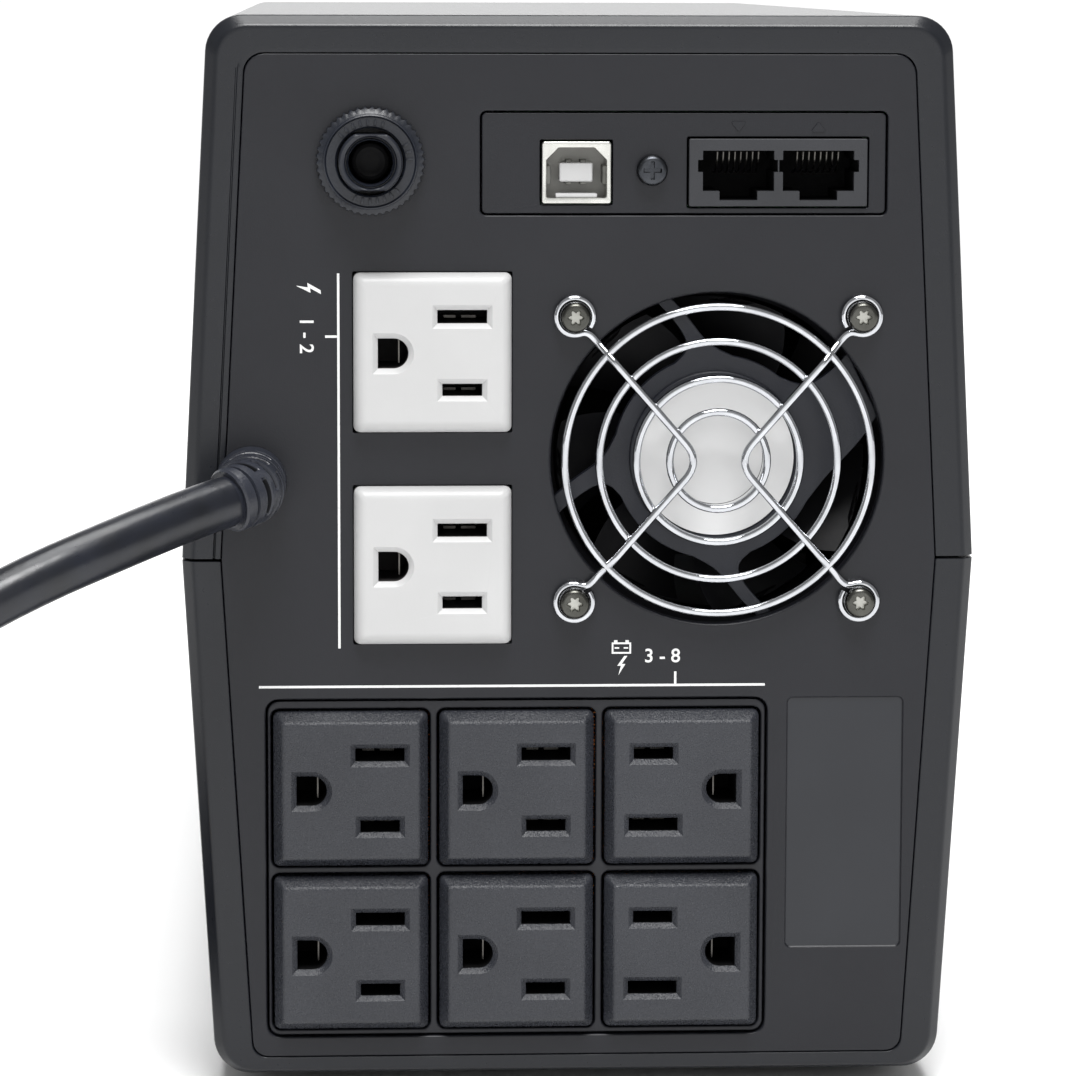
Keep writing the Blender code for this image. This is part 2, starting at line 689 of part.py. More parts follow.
def make_fan():
    rear = REAR_Y + PANEL_THICKNESS + GAP
    front = rear + FAN_DEPTH
    square = rectangle(FAN_CENTRE, (FAN_SQUARE, FAN_SQUARE), 0.004, 0.0)
    frame = finish("fan_frame", prism(square, rear, front), BLACK_PLASTIC)
    cuts = [turned(FAN_CENTRE, [(FAN_OPENING_RADIUS, rear - 0.003), (FAN_OPENING_RADIUS, front + 0.003)], 48)]
    hole = SCREW_SHANK_RADIUS + GAP
    cuts += [turned(place, [(hole, rear - 0.003), (hole, front + 0.003)], 16) for place in corner_screws()]
    boolean(frame, guide("fan_frame_cutter", joined(*cuts)))

    strut_rear, strut_front = rear + 0.0006, rear + 0.0026
    plate = turned(FAN_CENTRE, [(FAN_PLATE_RADIUS, strut_rear), (FAN_PLATE_RADIUS, strut_front)], 32)
    struts = [strut(angle, strut_rear, strut_front) for angle in FAN_STRUT_ANGLES]
    boolean(frame, guide("fan_motor_plate", plate), "UNION")
    for index, shape in enumerate(struts, 1):
        boolean(frame, guide(f"fan_strut_{index}", shape), "UNION")

    motor_front = strut_front + GAP + FAN_MOTOR_DEPTH
    motor_profile = [(FAN_MOTOR_RADIUS, strut_front + GAP), (FAN_MOTOR_RADIUS, motor_front)]
    smooth(finish("fan_motor", turned(FAN_CENTRE, motor_profile, 32), BLACK_PLASTIC))

    hub_rear, hub_front = strut_front + GAP, front - 0.0010
    cup_floor = motor_front + 2 * GAP
    hub_profile = [
        (FAN_CUP_RADIUS, cup_floor),
        (FAN_CUP_RADIUS, hub_rear),
        (FAN_HUB_RADIUS, hub_rear),
        (FAN_HUB_RADIUS, hub_front - 0.0010),
        (FAN_HUB_RADIUS - 0.0010, hub_front),
    ]
    place = (FAN_CENTRE[0], 0.0, FAN_CENTRE[1])
    hub = finish("fan_impeller", turned((0.0, 0.0), hub_profile, 35), BLACK_PLASTIC, place)
    for k in range(FAN_BLADES):
        blade = guide(f"fan_blade_{k + 1}", fan_blade(2 * math.pi * k / FAN_BLADES, hub_rear, hub_front))
        blade.location = place
        boolean(hub, blade, "UNION")


def strut(angle, rear, front):
    """A slanted strut from the motor plate to the frame's ring."""
    turn = math.radians(angle)
    along = Vector((math.cos(turn), 0.0, math.sin(turn)))
    across = Vector((-math.sin(turn), 0.0, math.cos(turn)))
    centre = Vector((FAN_CENTRE[0], 0.0, FAN_CENTRE[1]))
    rings = []
    for reach in (FAN_PLATE_RADIUS - 0.002, FAN_OPENING_RADIUS + 0.0006):
        middle = centre + along * reach + across * (reach - FAN_PLATE_RADIUS) * FAN_STRUT_LEAN
        half = FAN_STRUT_HALF_WIDTH
        corners = ((-half, rear), (half, rear), (half, front), (-half, front))
        rings.append([middle + across * side + Vector((0.0, y, 0.0)) for side, y in corners])
    return skin(rings)


def fan_blade(start, rear, front):
    """A curved blade that sweeps round as it runs from the hub's rear edge to its front edge."""
    thickness = math.radians(BLADE_THICKNESS)
    lead = math.radians(BLADE_TIP_LEAD)
    corners = [
        (BLADE_ROOT_RADIUS, 0.0),
        (BLADE_TIP_RADIUS, lead),
        (BLADE_TIP_RADIUS, lead + BLADE_TIP_TAPER * thickness),
        (BLADE_ROOT_RADIUS, thickness),
    ]
    rings = []
    stations = 4
    for k in range(stations + 1):
        part = k / stations
        y = rear + 0.0006 + (front - rear - 0.0016) * part
        turn = start + math.radians(BLADE_TURN) * part
        rings.append([(r * math.cos(turn + a), y, r * math.sin(turn + a)) for r, a in corners])
    shape = skin(rings)
    # The swept faces are twisted, so each becomes two flat ones.
    bmesh.ops.triangulate(shape, faces=shape.faces[:])
    return shape


def wire_along(points, radius, sides=6, closed=False):
    """A round wire through points, with rings that keep square to its path."""
    points = [Vector(point) for point in points]
    count = len(points)
    rings = []
    upright = Vector((0.0, -1.0, 0.0))
    for i, point in enumerate(points):
        before = points[i - 1] if closed or i > 0 else point
        after = points[(i + 1) % count] if closed or i < count - 1 else point
        along = (after - before).normalized()
        first = along.cross(upright).normalized()
        second = first.cross(along).normalized()
        turns = [2 * math.pi * (k + 0.5) / sides for k in range(sides)]
        rings.append([point + radius * (first * math.cos(t) + second * math.sin(t)) for t in turns])
    return closed_skin(rings) if closed else skin(rings)


def make_guard():
    """Four chrome rings welded behind two bent wires, whose ends curl round the screws."""
    x, z = FAN_CENTRE
    ring_y = REAR_Y - GUARD_STANDOFF + 2 * GUARD_WIRE_RADIUS - 0.0003
    wire_y = REAR_Y - GUARD_STANDOFF
    seat_y = REAR_Y - GAP - GUARD_WIRE_RADIUS
    rings = []
    for radius in GUARD_RADII:
        ring = circle((x, z), radius, ring_y, max(16, int(radius * GUARD_SEGMENTS_PER_METRE)))
        rings.append(wire_along(ring, GUARD_WIRE_RADIUS, closed=True))
    guard = finish("fan_guard", joined(*rings), CHROME_WIRE)
    eye = SCREW_SHANK_RADIUS + GAP + GUARD_WIRE_RADIUS + 0.0006
    half = FAN_SCREW_SPACING / 2
    for side in (-1, 1):
        bend = Vector((x + side * GUARD_BEND_X, wire_y, z))
        points = []
        for sign in (1, -1):
            corner = Vector((x + side * half, seat_y, z + sign * half))
            inward = Vector((bend.x - corner.x, 0.0, bend.z - corner.z)).normalized()
            rise = Vector((0.0, wire_y - seat_y, 0.0))
            points.append([
                corner + inward * eye,
                corner + inward * (eye + 0.0025) + rise * 0.75,
                corner + inward * (eye + 0.0050) + rise,
                bend - inward * GUARD_BEND_RADIUS,
            ])
            ring = circle((corner.x, corner.z), eye, seat_y, 12)
            name = f"guard_eye_{'right' if side > 0 else 'left'}_{'top' if sign > 0 else 'bottom'}"
            boolean(guard, guide(name, wire_along(ring, GUARD_WIRE_RADIUS, closed=True)), "UNION")
        route = points[0] + [bend + Vector((side * 0.0006, 0.0, 0.0))] + points[1][::-1]
        name = f"guard_wire_{'right' if side > 0 else 'left'}"
        boolean(guard, guide(name, wire_along(route, GUARD_WIRE_RADIUS)), "UNION")
    smooth(guard, 50.0)
    head_seat = seat_y - GUARD_WIRE_RADIUS - GAP
    for index, place in enumerate(corner_screws(), 1):
        screw(f"fan_screw_{index}", place, head_seat, FAN_SCREW_LENGTH)


# Front -----------------------------------------------------------------------------------------------


def make_front():
    upper = bezel_half("front_panel", SEAM_Z + SEAM_GROOVE / 2, BODY_TOP)
    bezel_half("battery_door", SEAM_Z - SEAM_GROOVE / 2, BODY_BOTTOM)
    face = FRONT_Y + GAP + BEZEL_DEPTH
    cut_rear, cut_front = face - 0.010, face + 0.004
    buttons = (("power_button", *POWER_BUTTON), ("select_button", *SELECT_BUTTON))
    cuts = [prism(rectangle(WINDOW_CENTRE, WINDOW_SIZE, WINDOW_CORNER), cut_rear, cut_front)]
    cuts += [turned(centre, [(radius, cut_rear), (radius, cut_front)]) for name, centre, radius in buttons]
    boolean(upper, guide("front_cutter", joined(*cuts)))

    glass_rear, glass_front = face - 0.0024, face - 0.0004
    glass = prism(rectangle(WINDOW_CENTRE, WINDOW_SIZE, WINDOW_CORNER, GAP), glass_rear, glass_front)
    finish("display_window", glass, WINDOW_GLASS)
    half_width, low_z, high_z = LCD_HALF_WIDTH, *LCD_Z
    lcd = ((-half_width, face - LCD_DEPTH, low_z), (half_width, glass_rear - GAP, high_z))
    finish("lcd_module", boxes(lcd), BLACK_PLASTIC)
    half_width, low_z, high_z = DISPLAY_BOARD_HALF_WIDTH, *DISPLAY_BOARD_Z
    board_front = face - LCD_DEPTH - GAP
    board = ((-half_width, board_front - BOARD_THICKNESS, low_z), (half_width, board_front, high_z))
    finish("display_board", boxes(board), BOARD_LAMINATE)
    for name, centre, radius in buttons:
        edge = radius - GAP
        profile = [(edge, face - 0.0050), (edge, face + 0.0004), (edge - 0.0010, face + 0.0012)]
        place = (centre[0], 0.0, centre[1])
        smooth(finish(name, turned((0.0, 0.0), profile, 24), BLACK_PLASTIC, place))


# Inside ----------------------------------------------------------------------------------------------


def make_batteries():
    width, depth, height = BATTERY_SIZE
    for index in (1, 2):
        low_z = FLOOR_Z + (index - 1) * (height + GAP)
        low = (-width / 2, BATTERY_REAR_Y, low_z)
        high = (width / 2, BATTERY_REAR_Y + depth, low_z + height)
        battery = finish(f"battery_{index}", boxes((low, high)), BLACK_PLASTIC)
        bevel = battery.modifiers.new("edges", "BEVEL")
        bevel.width = 0.002
        bevel.segments = 1


def make_transformer():
    """A laminated core with two windows, and the winding that fills them round its middle limb."""
    half_x, (rear, front), height = CORE_HALF_WIDTH, CORE_Y, CORE_HEIGHT
    low_z, high_z = CORE_WINDOW_Z
    inner, outer = CORE_WINDOW_X
    out_rear, out_front = WINDING_Y
    core = finish(
        "transformer_core",
        boxes(((-half_x, rear, FLOOR_Z), (half_x, front, FLOOR_Z + height))),
        CORE_STEEL,
    )
    windows = [((-outer, out_rear, low_z), (-inner, out_front, high_z))]
    windows.append(((inner, out_rear, low_z), (outer, out_front, high_z)))
    boolean(core, guide("core_window_cutter", boxes(*windows)))
    coil = ((-outer + GAP, out_rear, low_z + GAP), (outer - GAP, out_front, high_z - GAP))
    winding = finish("transformer_winding", boxes(coil), WINDING_COPPER)
    limb = ((-inner - GAP, rear - GAP, 0.0), (inner + GAP, front + GAP, height + 0.02))
    boolean(winding, guide("winding_cutter", boxes(limb)))


def make_shelf():
    """A folded shelf that straddles the transformer and carries the main board."""
    x, top, thick = SHELF_HALF_WIDTH, SHELF_TOP, SHELF_THICKNESS
    outline = [(-x, FLOOR_Z), (-x + thick, FLOOR_Z), (-x + thick, top - thick), (x - thick, top - thick),
               (x - thick, FLOOR_Z), (x, FLOOR_Z), (x, top), (-x, top)]
    finish("inner_shelf", prism(outline, *SHELF_Y), CASE_PLASTIC)


def make_main_board():
    half_x, (rear, front) = MAIN_BOARD_HALF_WIDTH, MAIN_BOARD_Y
    board_z = SHELF_TOP + GAP
    deck = board_z + BOARD_THICKNESS + GAP
    board = ((-half_x, rear, board_z), (half_x, front, board_z + BOARD_THICKNESS))
    finish("main_board", boxes(board), BOARD_LAMINATE)

    (sink_low, sink_high), (sink_rear, sink_front) = SINK_X, SINK_Y
    base = ((sink_low, sink_rear, deck), (sink_high, sink_front, deck + SINK_BASE))
    sink = finish("heat_sink", boxes(base), HEAT_ALUMINIUM)
    for k in range(SINK_FINS):
        fin_x = sink_low + 0.0010 + SINK_FIN_SPACING * k
        low = (fin_x, sink_rear, deck + SINK_BASE / 2)
        high = (fin_x + SINK_FIN_THICKNESS, sink_front, deck + SINK_HEIGHT)
        boolean(sink, guide(f"sink_fin_{k + 1}", boxes((low, high))), "UNION")

    for index, (x, y) in enumerate(CAPACITOR_PLACES, 1):
        can = turned_upright(CAPACITOR_RADIUS, CAPACITOR_HEIGHT)
        smooth(finish(f"capacitor_{index}", can, BLACK_PLASTIC, (x, y, deck)))
    width, height = RELAY_SIZE
    for index, x in enumerate(RELAY_X, 1):
        relay = ((x - width / 2, RELAY_Y[0], deck), (x + width / 2, RELAY_Y[1], deck + height))
        finish(f"relay_{index}", boxes(relay), BLACK_PLASTIC)


def turned_upright(radius, height, segments=24):
    """An upright cylinder that stands on its origin."""
    shape = bmesh.new()
    bmesh.ops.create_cone(
        shape,
        cap_ends=True,
        segments=segments,
        radius1=radius,
        radius2=radius,
        depth=height,
        matrix=Matrix.Translation((0.0, 0.0, height / 2)),
    )
    return shape


# Power cord ------------------------------------------------------------------------------------------


def smooth_route(points, spacing):
    """Points at even steps along one smooth curve through the given points."""
    padded = [2 * points[0] - points[1]] + points + [2 * points[-1] - points[-2]]
    fine = []
    for a, b, c, d in zip(padded, padded[1:], padded[2:], padded[3:]):
        for k in range(24):
            t = k / 24
            fine.append(0.5 * (2 * b + (c - a) * t + (2 * a - 5 * b + 4 * c - d) * t ** 2
                               + (3 * b - a - 3 * c + d) * t ** 3))
    fine.append(points[-1])
    lengths = [0.0]
    for a, b in zip(fine, fine[1:]):
        lengths.append(lengths[-1] + (b - a).length)
    count = max(2, round(lengths[-1] / spacing))
    even = []
    place = 0
    for k in range(count + 1):
        target = lengths[-1] * k / count
        while place < len(fine) - 2 and lengths[place + 1] < target:
            place += 1
        span = lengths[place + 1] - lengths[place]
        even.append(fine[place].lerp(fine[place + 1], min(1.0, max(0.0, (target - lengths[place]) / span))))
    return even


def relief_path():
    """The strain relief's middle line: straight out of the panel, then bent to the left and a little down."""
    sideways = Vector((-math.cos(math.radians(RELIEF_TILT)), 0.0, -math.sin(math.radians(RELIEF_TILT))))
    outward = Vector((0.0, -1.0, 0.0))
    root = Vector((RELIEF_ROOT[0], REAR_Y - GAP, RELIEF_ROOT[1]))
    knee = root + outward * RELIEF_STRAIGHT
    path = [root, root + outward * RELIEF_STRAIGHT * 0.5, knee]
    bends = 5
    for k in range(1, bends + 1):
        turn = math.radians(RELIEF_BEND_ANGLE) * k / bends
        path.append(knee + outward * RELIEF_BEND_RADIUS * math.sin(turn)
                    + sideways * RELIEF_BEND_RADIUS * (1 - math.cos(turn)))
    return path


def strain_relief(path):
    """A tapered boot along path, with a neck through the rear panel."""
    segments = 14
    outward = Vector((0.0, -1.0, 0.0))

    def ring(middle, along, radius):
        first = along.cross(Vector((0.0, 0.0, 1.0))).normalized()
        second = first.cross(along).normalized()
        turns = [2 * math.pi * k / segments for k in range(segments)]
        return [middle + radius * (first * math.cos(t) + second * math.sin(t)) for t in turns]

    neck_depths = (REAR_Y + 0.0045, REAR_Y - GAP)
    x, z = RELIEF_ROOT
    rings = [ring(Vector((x, y, z)), outward, RELIEF_NECK_RADIUS) for y in neck_depths]
    last = len(path) - 1
    for i, middle in enumerate(path):
        along = outward if i < 2 else (path[min(i + 1, last)] - path[i - 1]).normalized()
        radius = RELIEF_ROOT_RADIUS + (RELIEF_TIP_RADIUS - RELIEF_ROOT_RADIUS) * i / last
        rings.append(ring(middle, along, radius))
    smooth(finish("strain_relief", skin(rings), CORD_JACKET))


def cord_tube(points):
    """The free stretch of the cord, as a round tube through points."""
    curve = bpy.data.curves.new("power_cord", "CURVE")
    curve.dimensions = "3D"
    curve.bevel_depth = CORD_RADIUS
    curve.bevel_resolution = 3
    curve.use_fill_caps = True
    spline = curve.splines.new("POLY")
    spline.points.add(len(points) - 1)
    for point, place in zip(spline.points, points):
        point.co = (*place, 1.0)
    curve.materials.append(CORD_JACKET)
    bpy.context.scene.collection.objects.link(bpy.data.objects.new("power_cord", curve))


def make_cord():
    path = relief_path()
    strain_relief(path)
    tip = path[-1]
    direction = (path[-1] - path[-2]).normalized()
    route = [tip + direction * 3 * GAP, tip + direction * CORD_LEAD]
    route += [Vector((x * 0.001, y * 0.001 + REAR_Y, z * 0.001)) for x, y, z in CORD_ROUTE_MM]
    coil_top = COIL_BOTTOM + COIL_HEIGHT
    in_air = [point for point in smooth_route(route, 0.002) if point.z > coil_top + GAP + CORD_RADIUS]
    cord_tube(smooth_route(in_air, 4 * CORD_RADIUS))

    low, high = COIL_BOTTOM, coil_top
    inner = COIL_MID_RADIUS - COIL_HALF_WIDTH
    outer = COIL_MID_RADIUS + COIL_HALF_WIDTH
    profile = [(inner, low + 0.002), (inner + 0.002, low), (outer - 0.002, low), (outer, low + 0.002),
               (outer, high - 0.003), (outer - 0.003, high), (inner + 0.003, high), (inner, high - 0.003)]
    turns = [2 * math.pi * k / 36 for k in range(36)]
    coil_rings = [[(radius * math.cos(t), radius * math.sin(t), z) for radius, z in profile] for t in turns]
    coil_place = (COIL_CENTRE[0], COIL_CENTRE[1] + REAR_Y, 0.0)
    smooth(finish("cord_coil", closed_skin(coil_rings), CORD_JACKET, coil_place), 50.0)
    make_tie(inner, outer, low, high, coil_place)
    make_plug(high)


def make_tie(inner, outer, low, high, coil_place):
    """A strap round the coil's section."""
    thick = TIE_THICKNESS
    half = TIE_WIDTH / 2
    # The ring bulges beyond a straight strap's inner side, so the strap clears its sagitta as well.
    sagitta = outer - math.sqrt(outer ** 2 - half ** 2)
    r0, r1 = inner - GAP - 0.0006, outer + GAP
    z0, z1 = low - GAP, high + GAP
    strap = boxes(((r0 - thick - sagitta, -half, z0 - thick), (r1 + thick, half, z1 + thick)))
    tie = finish("cord_tie", strap, FOOT_RUBBER, coil_place)
    hole = guide("tie_cutter", boxes(((r0 - sagitta, -half - 0.01, z0), (r1, half + 0.01, z1))))
    hole.location = coil_place
    for piece in (tie, hole):
        piece.rotation_euler.z = math.radians(TIE_ANGLE)
    boolean(tie, hole)


def make_plug(coil_top):
    """A moulded grounded plug that lies on the coil, its blades toward -Y."""
    x, y = PLUG_ENTRY
    y += REAR_Y
    base = coil_top + GAP
    middle_z = base + PLUG_HEIGHT / 2

    def section(width, height, at_y, radius):
        outline = rectangle((x, middle_z), (width, height), radius, 0.0)
        return at_depth(outline, at_y)

    loops = [
        section(0.0110, 0.0110, y + PLUG_NUB, 0.0050),
        section(0.0140, 0.0130, y, 0.0055),
        section(PLUG_WIDTH * 0.92, PLUG_HEIGHT, y - 0.010, 0.0060),
        section(PLUG_WIDTH, PLUG_HEIGHT, y - PLUG_LENGTH + 0.002, 0.0060),
        section(PLUG_WIDTH - 0.002, PLUG_HEIGHT - 0.002, y - PLUG_LENGTH, 0.0052),
    ]
    smooth(finish("plug_body", skin(loops), CORD_JACKET), 40.0)
    face = y - PLUG_LENGTH - GAP
    blade_z = middle_z + PLUG_BLADE_RAISED
    half_x, half_z = PLUG_BLADE_THICKNESS / 2, PLUG_BLADE_HEIGHT / 2
    for name, side in (("plug_blade_line", -1), ("plug_blade_neutral", 1)):
        blade_x = x + side * BLADE_SPACING / 2
        low = (blade_x - half_x, face - PLUG_BLADE_LENGTH, blade_z - half_z)
        high = (blade_x + half_x, face, blade_z + half_z)
        finish(name, boxes((low, high)), BRASS_BLADE)
    radius, length = PLUG_PIN_RADIUS, PLUG_PIN_LENGTH
    pin = [(radius - 0.0010, face - length), (radius, face - length + 0.0015), (radius, face)]
    smooth(finish("plug_ground_pin", turned((x, middle_z - PLUG_PIN_LOWERED), pin, 16), BRASS_BLADE))


make_case()
make_rear_panel()
make_outlets()
make_data_ports()
make_breaker()
make_fan()
make_guard()
make_front()
make_batteries()
make_transformer()
make_shelf()
make_main_board()
make_cord()
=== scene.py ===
"""The looks of a tower uninterruptible power supply.

Everything is in the CAD frame: metres, the rear panel toward -Y, +Z up.
"""

import math

import bmesh
import bpy
from mathutils import Matrix, Vector


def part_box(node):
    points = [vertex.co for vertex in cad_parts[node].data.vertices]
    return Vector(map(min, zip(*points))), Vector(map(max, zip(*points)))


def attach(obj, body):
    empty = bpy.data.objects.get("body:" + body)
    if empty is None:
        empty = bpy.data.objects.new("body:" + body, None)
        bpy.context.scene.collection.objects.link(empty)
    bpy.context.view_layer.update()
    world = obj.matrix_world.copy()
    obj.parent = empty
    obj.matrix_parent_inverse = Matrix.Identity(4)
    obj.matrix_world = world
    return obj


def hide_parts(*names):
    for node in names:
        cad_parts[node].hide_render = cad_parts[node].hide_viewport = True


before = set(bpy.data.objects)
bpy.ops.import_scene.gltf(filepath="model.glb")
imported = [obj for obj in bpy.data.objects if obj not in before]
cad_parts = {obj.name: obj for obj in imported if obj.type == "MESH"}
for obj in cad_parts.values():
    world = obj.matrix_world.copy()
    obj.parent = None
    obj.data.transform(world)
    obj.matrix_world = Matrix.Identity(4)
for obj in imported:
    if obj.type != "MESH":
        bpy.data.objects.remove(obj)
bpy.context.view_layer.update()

# Planes that most pieces are placed by.
PANEL_LOW, PANEL_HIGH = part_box("rear_panel")
CASE_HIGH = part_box("upper_shell")[1]
CASE_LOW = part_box("lower_shell")[0]
REAR_Y = PANEL_LOW.y
GAP = 0.0003


# Camera, light and floor


CAMERA_PLACE = (-0.04427, -0.91206, 0.19641)
CAMERA_YAW = 2.845
CAMERA_PITCH = 7.455
CAMERA_ROLL = 0.136
CAMERA_LENS = 143.92
FLOOR_RADIUS = 45.0
WORLD_STRENGTH = 0.32
SUN_STRENGTH = 3.2
SUN_ANGLE = 26.0
SUN_PLACE = (0.05, -1.1, 2.4)
SUN_TARGET = (0.0, 0.0, 0.1)
# The softboxes, as (name, place, target, size, power).
SOFTBOXES = (
    ("top_box", (0.0, -0.02, 1.15), (0.0, REAR_Y, 0.18), (0.6, 0.6), 7.5),
    ("back_box", (0.0, 1.7, 0.62), (0.0, 0.0, 0.19), (2.4, 0.6), 8.0),
    ("front_box", (0.05, -1.45, 0.36), (0.0, REAR_Y, 0.10), (1.2, 0.7), 1.9),
)


def make_camera():
    data = bpy.data.cameras.new("camera")
    data.lens = CAMERA_LENS
    data.sensor_width = 36.0
    data.clip_end = 200.0
    camera = bpy.data.objects.new("camera", data)
    turn = Matrix.Rotation(math.radians(-CAMERA_YAW), 4, "Z")
    tip = Matrix.Rotation(math.radians(90.0 - CAMERA_PITCH), 4, "X")
    roll = Matrix.Rotation(math.radians(CAMERA_ROLL), 4, "Z")
    camera.matrix_world = Matrix.Translation(CAMERA_PLACE) @ turn @ tip @ roll
    bpy.context.scene.collection.objects.link(camera)
    bpy.context.scene.camera = camera


def aim(lamp, place, target):
    lamp.location = place
    lamp.rotation_euler = (Vector(target) - Vector(place)).to_track_quat("-Z", "Y").to_euler()
    bpy.context.scene.collection.objects.link(lamp)


def area_light(name, place, target, size, power):
    """A rectangular softbox."""
    data = bpy.data.lights.new(name, "AREA")
    data.shape = "RECTANGLE"
    data.size, data.size_y = size
    data.energy = power
    aim(bpy.data.objects.new(name, data), place, target)


def make_light():
    """Plain studio light: a soft sun from above and in front, a pale world and three softboxes."""
    world = bpy.data.worlds.new("studio")
    world.use_nodes = True
    world.node_tree.nodes["Background"].inputs["Color"].default_value = (1.0, 1.0, 1.0, 1.0)
    world.node_tree.nodes["Background"].inputs["Strength"].default_value = WORLD_STRENGTH
    bpy.context.scene.world = world
    bpy.context.scene.view_settings.view_transform = "Standard"
    sky = bpy.data.lights.new("overhead", "SUN")
    sky.energy = SUN_STRENGTH
    sky.angle = math.radians(SUN_ANGLE)
    aim(bpy.data.objects.new("overhead", sky), SUN_PLACE, SUN_TARGET)
    for softbox in SOFTBOXES:
        area_light(*softbox)


def make_floor():
    shape = bmesh.new()
    bmesh.ops.create_circle(shape, cap_ends=True, segments=96, radius=FLOOR_RADIUS)
    mesh = bpy.data.meshes.new("studio_floor")
    shape.to_mesh(mesh)
    shape.free()
    floor = bpy.data.objects.new("studio_floor", mesh)
    look = bpy.data.materials.new("studio_floor")
    look.use_nodes = True
    shader = look.node_tree.nodes["Principled BSDF"]
    shader.inputs["Base Color"].default_value = (0.93, 0.93, 0.93, 1.0)
    shader.inputs["Roughness"].default_value = 0.6
    shader.inputs["Specular IOR Level"].default_value = 0.2
    mesh.materials.append(look)
    bpy.context.scene.collection.objects.link(floor)


# Materials


def linear(colour):
    """An sRGB colour from 0 to 255 as the shader takes it."""
    parts = [value / 255 for value in colour]
    return (*[p / 12.92 if p <= 0.04045 else ((p + 0.055) / 1.055) ** 2.4 for p in parts], 1.0)


class Look:
    """A Principled material that is built up node by node, in object coordinates."""

    def __init__(self, name, roughness, metallic=0.0, specular=0.5, coat=0.0):
        self.material = bpy.data.materials.new(name)
        self.material.use_nodes = True
        self.nodes = self.material.node_tree.nodes
        self.links = self.material.node_tree.links
        self.shader = self.nodes["Principled BSDF"]
        self.shader.inputs["Roughness"].default_value = roughness
        self.shader.inputs["Metallic"].default_value = metallic
        self.shader.inputs["Specular IOR Level"].default_value = specular
        self.shader.inputs["Coat Weight"].default_value = coat
        self.place = self.nodes.new("ShaderNodeTexCoord").outputs["Object"]

    def stretched(self, scale):
        """Object coordinates stretched by a scale along each axis."""
        mapping = self.nodes.new("ShaderNodeMapping")
        mapping.inputs["Scale"].default_value = scale
        self.links.new(self.place, mapping.inputs["Vector"])
        return mapping.outputs["Vector"]

    def noise(self, scale, detail=3.0, where=None):
        node = self.nodes.new("ShaderNodeTexNoise")
        node.inputs["Scale"].default_value = scale
        node.inputs["Detail"].default_value = detail
        self.links.new(where or self.place, node.inputs["Vector"])
        return node.outputs["Fac"]

    def ramp(self, value, *stops):
        """A colour ramp from (position, sRGB colour) stops."""
        node = self.nodes.new("ShaderNodeValToRGB")
        elements = node.color_ramp.elements
        while len(elements) < len(stops):
            elements.new(0.5)
        for element, (position, colour) in zip(elements, stops):
            element.position = position
            element.color = linear(colour)
        self.links.new(value, node.inputs["Fac"])
        return node.outputs["Color"]

    def span(self, value, low, high):
        """A value from 0 to 1 as a number from low to high."""
        node = self.nodes.new("ShaderNodeMapRange")
        node.inputs["To Min"].default_value = low
        node.inputs["To Max"].default_value = high
        self.links.new(value, node.inputs["Value"])
        return node.outputs["Result"]

    def bump(self, value, depth):
        """Adds a bump of a depth in metres over those already there."""
        node = self.nodes.new("ShaderNodeBump")
        node.inputs["Distance"].default_value = depth
        node.inputs["Strength"].default_value = 1.0
        self.links.new(value, node.inputs["Height"])
        earlier = self.shader.inputs["Normal"].links
        if earlier:
            self.links.new(earlier[0].from_socket, node.inputs["Normal"])
        self.links.new(node.outputs["Normal"], self.shader.inputs["Normal"])

    def feed(self, socket, value):
        self.links.new(value, self.shader.inputs[socket])


def moulded(name, dark, light, roughness, grain=2600.0, depth=0.00004, specular=0.35, coat=0.0):
    """Moulded plastic: slightly uneven colour and gloss, under a fine eroded grain."""
    look = Look(name, roughness, specular=specular, coat=coat)
    look.feed("Base Color", look.ramp(look.noise(55.0, 6.0), (0.32, dark), (0.68, light)))
    look.feed("Roughness", look.span(look.noise(grain * 0.4, 2.0), roughness - 0.06, roughness + 0.06))
    look.bump(look.noise(grain, 4.0), depth)
    look.bump(look.noise(90.0, 2.0), depth * 2)
    return look.material


def metal(name, dark, light, roughness, brushed=(1.0, 1.0, 1.0), depth=0.000004, spread=0.04):
    """Plated or bare metal, its polish drawn out along the axis that brushed leaves short."""
    look = Look(name, roughness, metallic=1.0)
    streaks = look.noise(900.0, 4.0, look.stretched(brushed))
    look.feed("Base Color", look.ramp(look.noise(240.0), (0.3, dark), (0.7, light)))
    look.feed("Roughness", look.span(streaks, max(roughness - spread, 0.02), roughness + spread))
    look.bump(streaks, depth)
    return look.material


def jacket(name):
    """Glossy bluish-black cord jacket with faint drawn lines."""
    look = Look(name, 0.30, specular=0.5)
    look.feed("Base Color", look.ramp(look.noise(160.0, 5.0), (0.3, (14, 16, 22)), (0.7, (23, 26, 35))))
    look.feed("Roughness", look.span(look.noise(420.0), 0.22, 0.40))
    look.bump(look.noise(700.0, 5.0), 0.00003)
    look.bump(look.noise(60.0, 2.0), 0.0003)
    return look.material


def printed(name, colour):
    """Screen-printed ink, a little uneven where it took less well."""
    look = Look(name, 0.55, specular=0.3)
    worn = tuple(int(part * 0.86) for part in colour)
    look.feed("Base Color", look.ramp(look.noise(1500.0, 4.0), (0.22, worn), (0.42, colour)))
    look.bump(look.noise(3000.0), 0.00001)
    return look.material


